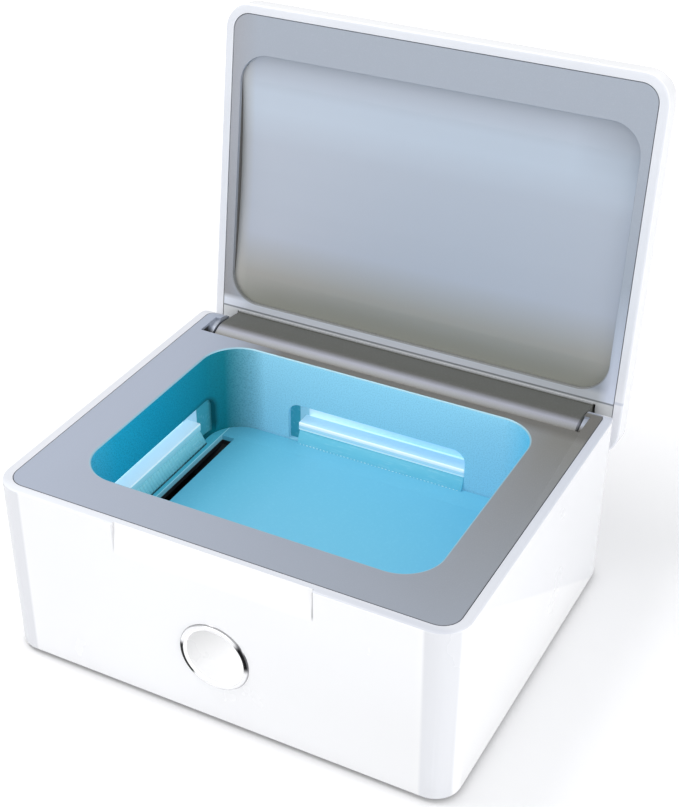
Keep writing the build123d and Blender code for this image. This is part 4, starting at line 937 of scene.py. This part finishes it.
finishes = {
    "shellWhite": shellPlastic(),
    "rimWhite": rimPlastic(),
    "capWhite": capPlastic(),
    "deckSilver": deckPaint(),
    "barrelSilver": barrelPaint(),
    "linerSilver": linerPaint(),
    "chamber": chamberPlastic(),
    "chamberFloor": floorPlastic(),
    "sideLamp": lampPlastic("sideLamp"),
    "backLamp": lampPlastic("backLamp"),
    "lampTray": lampTray(),
    "sparkle": moulded("sparkle", shown(206, 240, 248), 0.2, scale=900.0),
    "mirror": mirrorFilm(),
    "chrome": chromeRing(),
    "steel": metal("platedSteel", (0.62, 0.62, 0.63), 0.3),
    "brass": metal("turnedBrass", (0.72, 0.52, 0.22), 0.28),
    "can": metal("drawnCan", (0.66, 0.67, 0.70), 0.3),
    "magnet": metal("nickelMagnet", (0.70, 0.69, 0.66), 0.16, grain=(1, 1, 1)),
    "rubber": moulded("footRubber", (0.018, 0.018, 0.019), 0.75, scale=900.0),
    "black": moulded("blackPlastic", (0.022, 0.023, 0.026), 0.5),
    "grey": moulded("greyPlastic", (0.16, 0.17, 0.18), 0.5),
    "cream": moulded("creamNylon", (0.62, 0.60, 0.52), 0.45),
    "led": moulded("diodeFace", (0.62, 0.80, 0.86), 0.3),
    "board": circuitBoard("circuitBoard", *boardTones),
    # the lamp boards get a painted glow so the gap above the lamp bars reads light
    "whiteBoard": circuitBoard("lampBoard", *lampBoardTones, glow=0.5),
    "film": heaterFilm(),
}
print("finishes made:", len(finishes))


dressing = {
    # the finish of each piece, and the width in mm that its edges are broken by
    "bottom_cover": ("shellWhite", 0.15),
    "base_shell": ("shellWhite", 0.15),
    "lid_shell": ("shellWhite", 0.15),
    "deck_frame": ("deckSilver", 0.12),
    "lid_liner": ("linerSilver", 0.12),
    "hinge_barrel": ("barrelSilver", 0.12),
    "chamber_tub": ("chamber", 0.12),
    "floor_plate": ("chamberFloor", 0.15),
    "side_lamp_housing": ("lampTray", 0.1),
    "back_lamp_housing": ("lampTray", 0.1),
    "side_lamp_bar": ("sideLamp", 0.15),
    "back_lamp_bar": ("backLamp", 0.15),
    "lid_reflector": ("mirror", 0.1),
    "button_ring": ("chrome", 0.0),
    "button_cap": ("capWhite", 0.0),
    "rubber_feet": ("rubber", 0.0),
    "dc_jack": ("black", 0.1),
}

plain = {
    # pieces inside the box keep their own mesh
    "black": [
        "fan_frame", "fan_rotor", "fan_duct", "board_chips", "board_inductor", "tact_switch",
        "lid_sensor",
    ],
    "grey": ["thermal_cutout"],
    "cream": ["board_connectors", "switch_plunger"],
    "can": ["board_capacitors"],
    "steel": [
        "tub_retainers", "bottom_screws", "fan_screws", "board_screws", "button_screws",
        "barrel_screws", "hinge_pins",
    ],
    "magnet": ["catch_magnets", "lid_magnets", "sensor_magnet"],
    "brass": ["hinge_bushes"],
    "board": ["main_board", "button_board"],
    "whiteBoard": ["side_lamp_board", "back_lamp_board"],
    "led": ["side_lamp_leds", "back_lamp_leds"],
    "film": ["film_heater"],
}

# faces of a piece that have a second finish
lidFace = Vector((0, -lidSine, lidCosine))
facing = 0.5


def onRim(centre, normal):
    # flat band round the top of the base
    return normal.z > facing and centre.z > rimTop - 1.2 * mm


def onLidRim(centre, normal):
    return normal.dot(lidFace) > facing


def inOpening(centre, normal):
    # cut edge of the deck inside the chamber opening
    slack = 0.1 * mm
    inside = abs(centre.x) < chamberHalf[0] + slack and chamberFront < centre.y + slack
    return inside and centre.y < chamberBack + slack and centre.z < rimTop - 0.3 * mm


trims = {
    "base_shell": ("rimWhite", onRim),
    "lid_shell": ("rimWhite", onLidRim),
    "deck_frame": ("chamber", inOpening),
}

skin = {
    "weld": 0.002 * mm,
    "flat": math.radians(0.4),
    "crease": math.radians(28),
    "corner": math.radians(40),
    "segments": 2,
}


def plainMesh(made):
    # the object with its modifiers turned into its own mesh
    bpy.context.view_layer.update()
    graph = bpy.context.evaluated_depsgraph_get()
    made.data = bpy.data.meshes.new_from_object(made.evaluated_get(graph))
    made.modifiers.clear()


def newObject(name, data):
    made = bpy.data.objects.new(name, data)
    bpy.context.scene.collection.objects.link(made)
    return made


def smoothFaces(shape, crease):
    # smooth faces, with a sharp edge where two of them meet at more than the crease
    for face in shape.faces:
        face.smooth = True
    for line in shape.edges:
        line.smooth = len(line.link_faces) == 2 and line.calc_face_angle(0) < crease


def breakEdges(made, width):
    bevel = made.modifiers.new("edge", "BEVEL")
    bevel.width = width
    bevel.segments = skin["segments"]
    bevel.limit_method = "ANGLE"
    bevel.angle_limit = skin["corner"]
    bevel.use_clamp_overlap = True
    bevel.harden_normals = True
    bevel.miter_outer = "MITER_ARC"


def dress(name, finish, edge):
    # a welded copy of the node with smooth faces and small broken edges
    made = newObject(name + "_skin", nodes[name].data.copy())
    shape = bmesh.new()
    shape.from_mesh(made.data)
    bmesh.ops.remove_doubles(shape, verts=shape.verts, dist=skin["weld"])
    bmesh.ops.dissolve_limit(
        shape, angle_limit=skin["flat"], verts=shape.verts, edges=shape.edges, delimit=set()
    )
    smoothFaces(shape, skin["crease"])
    shape.to_mesh(made.data)
    shape.free()
    made.data.materials.clear()
    made.data.materials.append(finishes[finish])
    if name in trims:
        trim, picks = trims[name]
        made.data.materials.append(finishes[trim])
        for face in made.data.polygons:
            if picks(face.center, face.normal):
                face.material_index = 1
    if edge:
        breakEdges(made, edge * mm)
    plainMesh(made)
    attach(made, nodes[name]["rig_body"])
    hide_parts(name)


for name, (finish, edge) in dressing.items():
    dress(name, finish, edge)
for finish, names in plain.items():
    for name in names:
        nodes[name].data.materials.clear()
        nodes[name].data.materials.append(finishes[finish])
print("pieces dressed:", len(dressing))


class Growth(Maker):
    # a geometry tree in the making, with named inputs for its sizes

    kinds = {float: "NodeSocketFloat", int: "NodeSocketInt", tuple: "NodeSocketVector"}

    def __init__(self, name, sizes):
        super().__init__(bpy.data.node_groups.new(name, "GeometryNodeTree"))
        self.sizes = sizes
        self.named = {}
        sockets = self.tree.interface
        for size, value in sizes.items():
            kind = self.kinds[type(value)]
            self.named[size] = sockets.new_socket(size, in_out="INPUT", socket_type=kind).identifier
        sockets.new_socket("Geometry", in_out="OUTPUT", socket_type="NodeSocketGeometry")
        self.start = self.add("NodeGroupInput")

    def size(self, name):
        return Wire(self, self.start.outputs[name])

    def row(self, shape, tilt, scale):
        # copies of a shape along a straight line
        places = {"Count": "Count", "Start Location": "Start", "Offset": "Step"}
        line = self.node(
            "GeometryNodeMeshLine",
            None,
            {socket: self.size(size) for socket, size in places.items()},
        )
        return self.node(
            "GeometryNodeInstanceOnPoints",
            None,
            {"Points": line, "Instance": shape, "Rotation": tilt, "Scale": scale},
        )

    def grow(self, name, copies, finish, body, slot):
        # a plain mesh on one body, from the tree's own sizes
        real = self.node("GeometryNodeRealizeInstances", None, {"Geometry": copies})
        smooth = self.node("GeometryNodeSetShadeSmooth", None, {"Geometry": real})
        coloured = self.node(
            "GeometryNodeSetMaterial", None, {"Geometry": smooth, "Material": finishes[finish]}
        )
        self.add("NodeGroupOutput", None, {0: coloured})
        made = newObject(name, bpy.data.meshes.new(name))
        growing = made.modifiers.new("growth", "NODES")
        growing.node_group = self.tree
        for size, value in self.sizes.items():
            growing[self.named[size]] = value
        plainMesh(made)
        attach(made, body)
        print(name + ":", len(made.data.polygons), "faces")


sideApron = {
    # sloping foot of the side lamp, from under its lip to the floor
    "wall": -46.15 * mm,
    "toe": -43.9 * mm,
    "top": 28.05 * mm,
    "floor": 24.43 * mm,
    "from": -25.7 * mm,
    "to": 19.3 * mm,
    "ribs": 34,
    "ribRadius": 0.16 * mm,
    "ribReach": 0.86,
    "ribSides": 12,
}

backApron = {
    # the same on the back lamp, with small drops of light along its edge
    "wall": 32.65 * mm,
    "toe": 31.0 * mm,
    "top": 28.05 * mm,
    "floor": 24.43 * mm,
    "from": -22.6 * mm,
    "to": 25.7 * mm,
    "beads": 46,
    "beadRadius": 0.2 * mm,
    "beadLift": 0.02 * mm,
    "beadScales": ((0.5, 0.35, 0.4), (1.7, 0.7, 0.8)),
    "seed": 7,
}

apronEdge = {
    "width": 0.08 * mm,
    "segments": 2,
    "crease": math.radians(40),
}


def makeApron(name, corners, along, length, finish):
    # prism on a triangle, with its edges broken
    made = newObject(name, bpy.data.meshes.new(name))
    shape = bmesh.new()
    face = shape.faces.new([shape.verts.new(corner) for corner in corners])
    grown = bmesh.ops.extrude_face_region(shape, geom=[face])
    moved = [piece for piece in grown["geom"] if isinstance(piece, bmesh.types.BMVert)]
    bmesh.ops.translate(shape, verts=moved, vec=Vector(along) * length)
    bmesh.ops.recalc_face_normals(shape, faces=shape.faces)
    bmesh.ops.bevel(
        shape,
        geom=shape.edges[:],
        offset=apronEdge["width"],
        segments=apronEdge["segments"],
        affect="EDGES",
        profile=0.5,
    )
    smoothFaces(shape, apronEdge["crease"])
    shape.to_mesh(made.data)
    shape.free()
    made.data.materials.append(finishes[finish])
    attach(made, "base")


def makeSideFoot(apron):
    wall, toe, top, floor, start = (apron[key] for key in ("wall", "toe", "top", "floor", "from"))
    span = apron["to"] - start
    corners = [(wall, start, top), (wall, start, floor), (toe, start, floor)]
    makeApron("side_lamp_apron", corners, (0, 1, 0), span, "sideLamp")
    # half-round ribs down the slope
    slope = Vector((toe - wall, 0, floor - top))
    pitch = span / (apron["ribs"] + 1)
    ribs = Growth(
        "ribRow",
        {
            "Count": apron["ribs"],
            "Start": (wall + slope.x / 2, start + pitch, top + slope.z / 2),
            "Step": (0.0, pitch, 0.0),
            "Radius": apron["ribRadius"],
            "Length": slope.length * apron["ribReach"],
            "Tilt": (0.0, -math.atan2(slope.x, -slope.z), 0.0),
        },
    )
    rib = ribs.node(
        "GeometryNodeMeshCylinder",
        {"fill_type": "NGON"},
        {
            "Vertices": apron["ribSides"],
            "Radius": ribs.size("Radius"),
            "Depth": ribs.size("Length"),
        },
    )
    row = ribs.row(rib, ribs.size("Tilt"), (1.0, 1.0, 1.0))
    ribs.grow("side_lamp_ribs", row, "sideLamp", "base", "lamp_clear")


def makeBackFoot(apron):
    wall, toe, top, floor, start = (apron[key] for key in ("wall", "toe", "top", "floor", "from"))
    span = apron["to"] - start
    corners = [(start, wall, top), (start, wall, floor), (start, toe, floor)]
    makeApron("back_lamp_apron", corners, (1, 0, 0), span, "backLamp")
    # uneven beads along the toe
    pitch = span / (apron["beads"] + 1)
    beads = Growth(
        "beadRow",
        {
            "Count": apron["beads"],
            "Start": (start + pitch, toe, floor + apron["beadLift"]),
            "Step": (pitch, 0.0, 0.0),
            "Radius": apron["beadRadius"],
            "Seed": apron["seed"],
        },
    )
    bead = beads.node(
        "GeometryNodeMeshIcoSphere", None, {"Radius": beads.size("Radius"), "Subdivisions": 3}
    )
    least, most = apron["beadScales"]
    scale = beads.node(
        "FunctionNodeRandomValue",
        {"data_type": "FLOAT_VECTOR"},
        {"Min": least, "Max": most, "Seed": beads.size("Seed")},
    )
    row = beads.row(bead, (0.0, 0.0, 0.0), scale)
    beads.grow("back_lamp_beads", row, "sparkle", "base", "lamp_clear")


makeSideFoot(sideApron)
makeBackFoot(backApron)


studio = {
    "cameraPlace": (0.15265, -0.28305, 0.2644),
    "azimuth": 28.20,
    "elevation": 31.115,
    "roll": -0.154,
    "lens": 71.09,
    "shift": (0.02523, -0.04076),
    "clip": (0.01, 20),
    "floorSize": 6,
    "floorColour": (0.86, 0.86, 0.87),
    "floorRoughness": 0.9,
    "floorLift": 0.125,
    "farLift": 0.6,
    "farReach": (0.22, 0.6),
    "worldColour": (0.975, 0.985, 1.0),
    "worldLevel": 0.8,
    "aim": (0, 0, 0.05),
}

lights = {
    "topBox": {
        "place": (-0.42, -0.12, 0.92),
        "size": (0.42, 0.42),
        "power": 3.4,
        "colour": (1.0, 0.99, 0.98),
    },
    "frontBox": {
        "place": (-0.25, -1.0, 0.25),
        "size": (0.9, 0.4),
        "power": 1.4,
        "colour": (1.0, 1.0, 1.0),
    },
    "sideBox": {
        "place": (1.0, -0.2, 0.22),
        "size": (0.7, 0.35),
        "power": 3.4,
        "colour": (1.0, 1.0, 1.0),
    },
}


def makeCamera(setup):
    around, up = math.radians(setup["azimuth"]), math.radians(setup["elevation"])
    back = Vector(
        (math.sin(around) * math.cos(up), -math.cos(around) * math.cos(up), math.sin(up))
    )
    camera = newObject("camera", bpy.data.cameras.new("camera"))
    turn = (-back).to_track_quat("-Z", "Y").to_matrix().to_4x4()
    roll = Matrix.Rotation(math.radians(setup["roll"]), 4, "Z")
    camera.matrix_world = Matrix.Translation(setup["cameraPlace"]) @ turn @ roll
    camera.data.lens = setup["lens"]
    camera.data.sensor_width = 36
    camera.data.shift_x, camera.data.shift_y = setup["shift"]
    camera.data.clip_start, camera.data.clip_end = setup["clip"]
    bpy.context.scene.camera = camera


def makeFloor(setup):
    # wide pale floor; rays straight from the camera see it as white paper with the shadow kept
    mesh = bpy.data.meshes.new("floor")
    shape = bmesh.new()
    bmesh.ops.create_grid(shape, x_segments=1, y_segments=1, size=setup["floorSize"])
    shape.to_mesh(mesh)
    shape.free()
    floor = newObject("floor", mesh)
    made = Finish("floorPaper", IOR=1.45, Roughness=setup["floorRoughness"])
    made.set("Base Color", full(setup["floorColour"]))
    made.set("Emission Color", full((1, 1, 1)))
    away = distance(*made.axes("XY")).fade(*setup["farReach"])
    direct = made.node("ShaderNodeLightPath", output="Is Camera Ray")
    made.set("Emission Strength", direct * (away * setup["farLift"] + setup["floorLift"]))
    mesh.materials.append(made.material)


def makeWorld(setup):
    # soft light on the object, and white straight from the camera
    world = bpy.data.worlds.new("studio")
    bpy.context.scene.world = world
    world.use_nodes = True
    made = Maker(world.node_tree)
    made.tree.nodes.clear()
    soft, white = (
        made.node("ShaderNodeBackground", None, {"Color": full(colour), "Strength": level})
        for colour, level in ((setup["worldColour"], setup["worldLevel"]), ((1, 1, 1), 1.0))
    )
    direct = made.node("ShaderNodeLightPath", output="Is Camera Ray")
    mix = made.node("ShaderNodeMixShader", None, {0: direct, 1: soft, 2: white})
    made.add("ShaderNodeOutputWorld", None, {0: mix})


def makeLight(name, light, aim):
    lamp = newObject(name, bpy.data.lights.new(name, "AREA"))
    lamp.data.shape = "RECTANGLE"
    lamp.data.size, lamp.data.size_y = light["size"]
    lamp.data.energy = light["power"]
    lamp.data.color = light["colour"]
    place = Vector(light["place"])
    turn = (place - Vector(aim)).to_track_quat("Z", "Y").to_matrix().to_4x4()
    lamp.matrix_world = Matrix.Translation(place) @ turn


makeCamera(studio)
makeFloor(studio)
makeWorld(studio)
for name, light in lights.items():
    makeLight(name, light, studio["aim"])
bpy.context.scene.view_settings.view_transform = "Standard"
print("stage set")
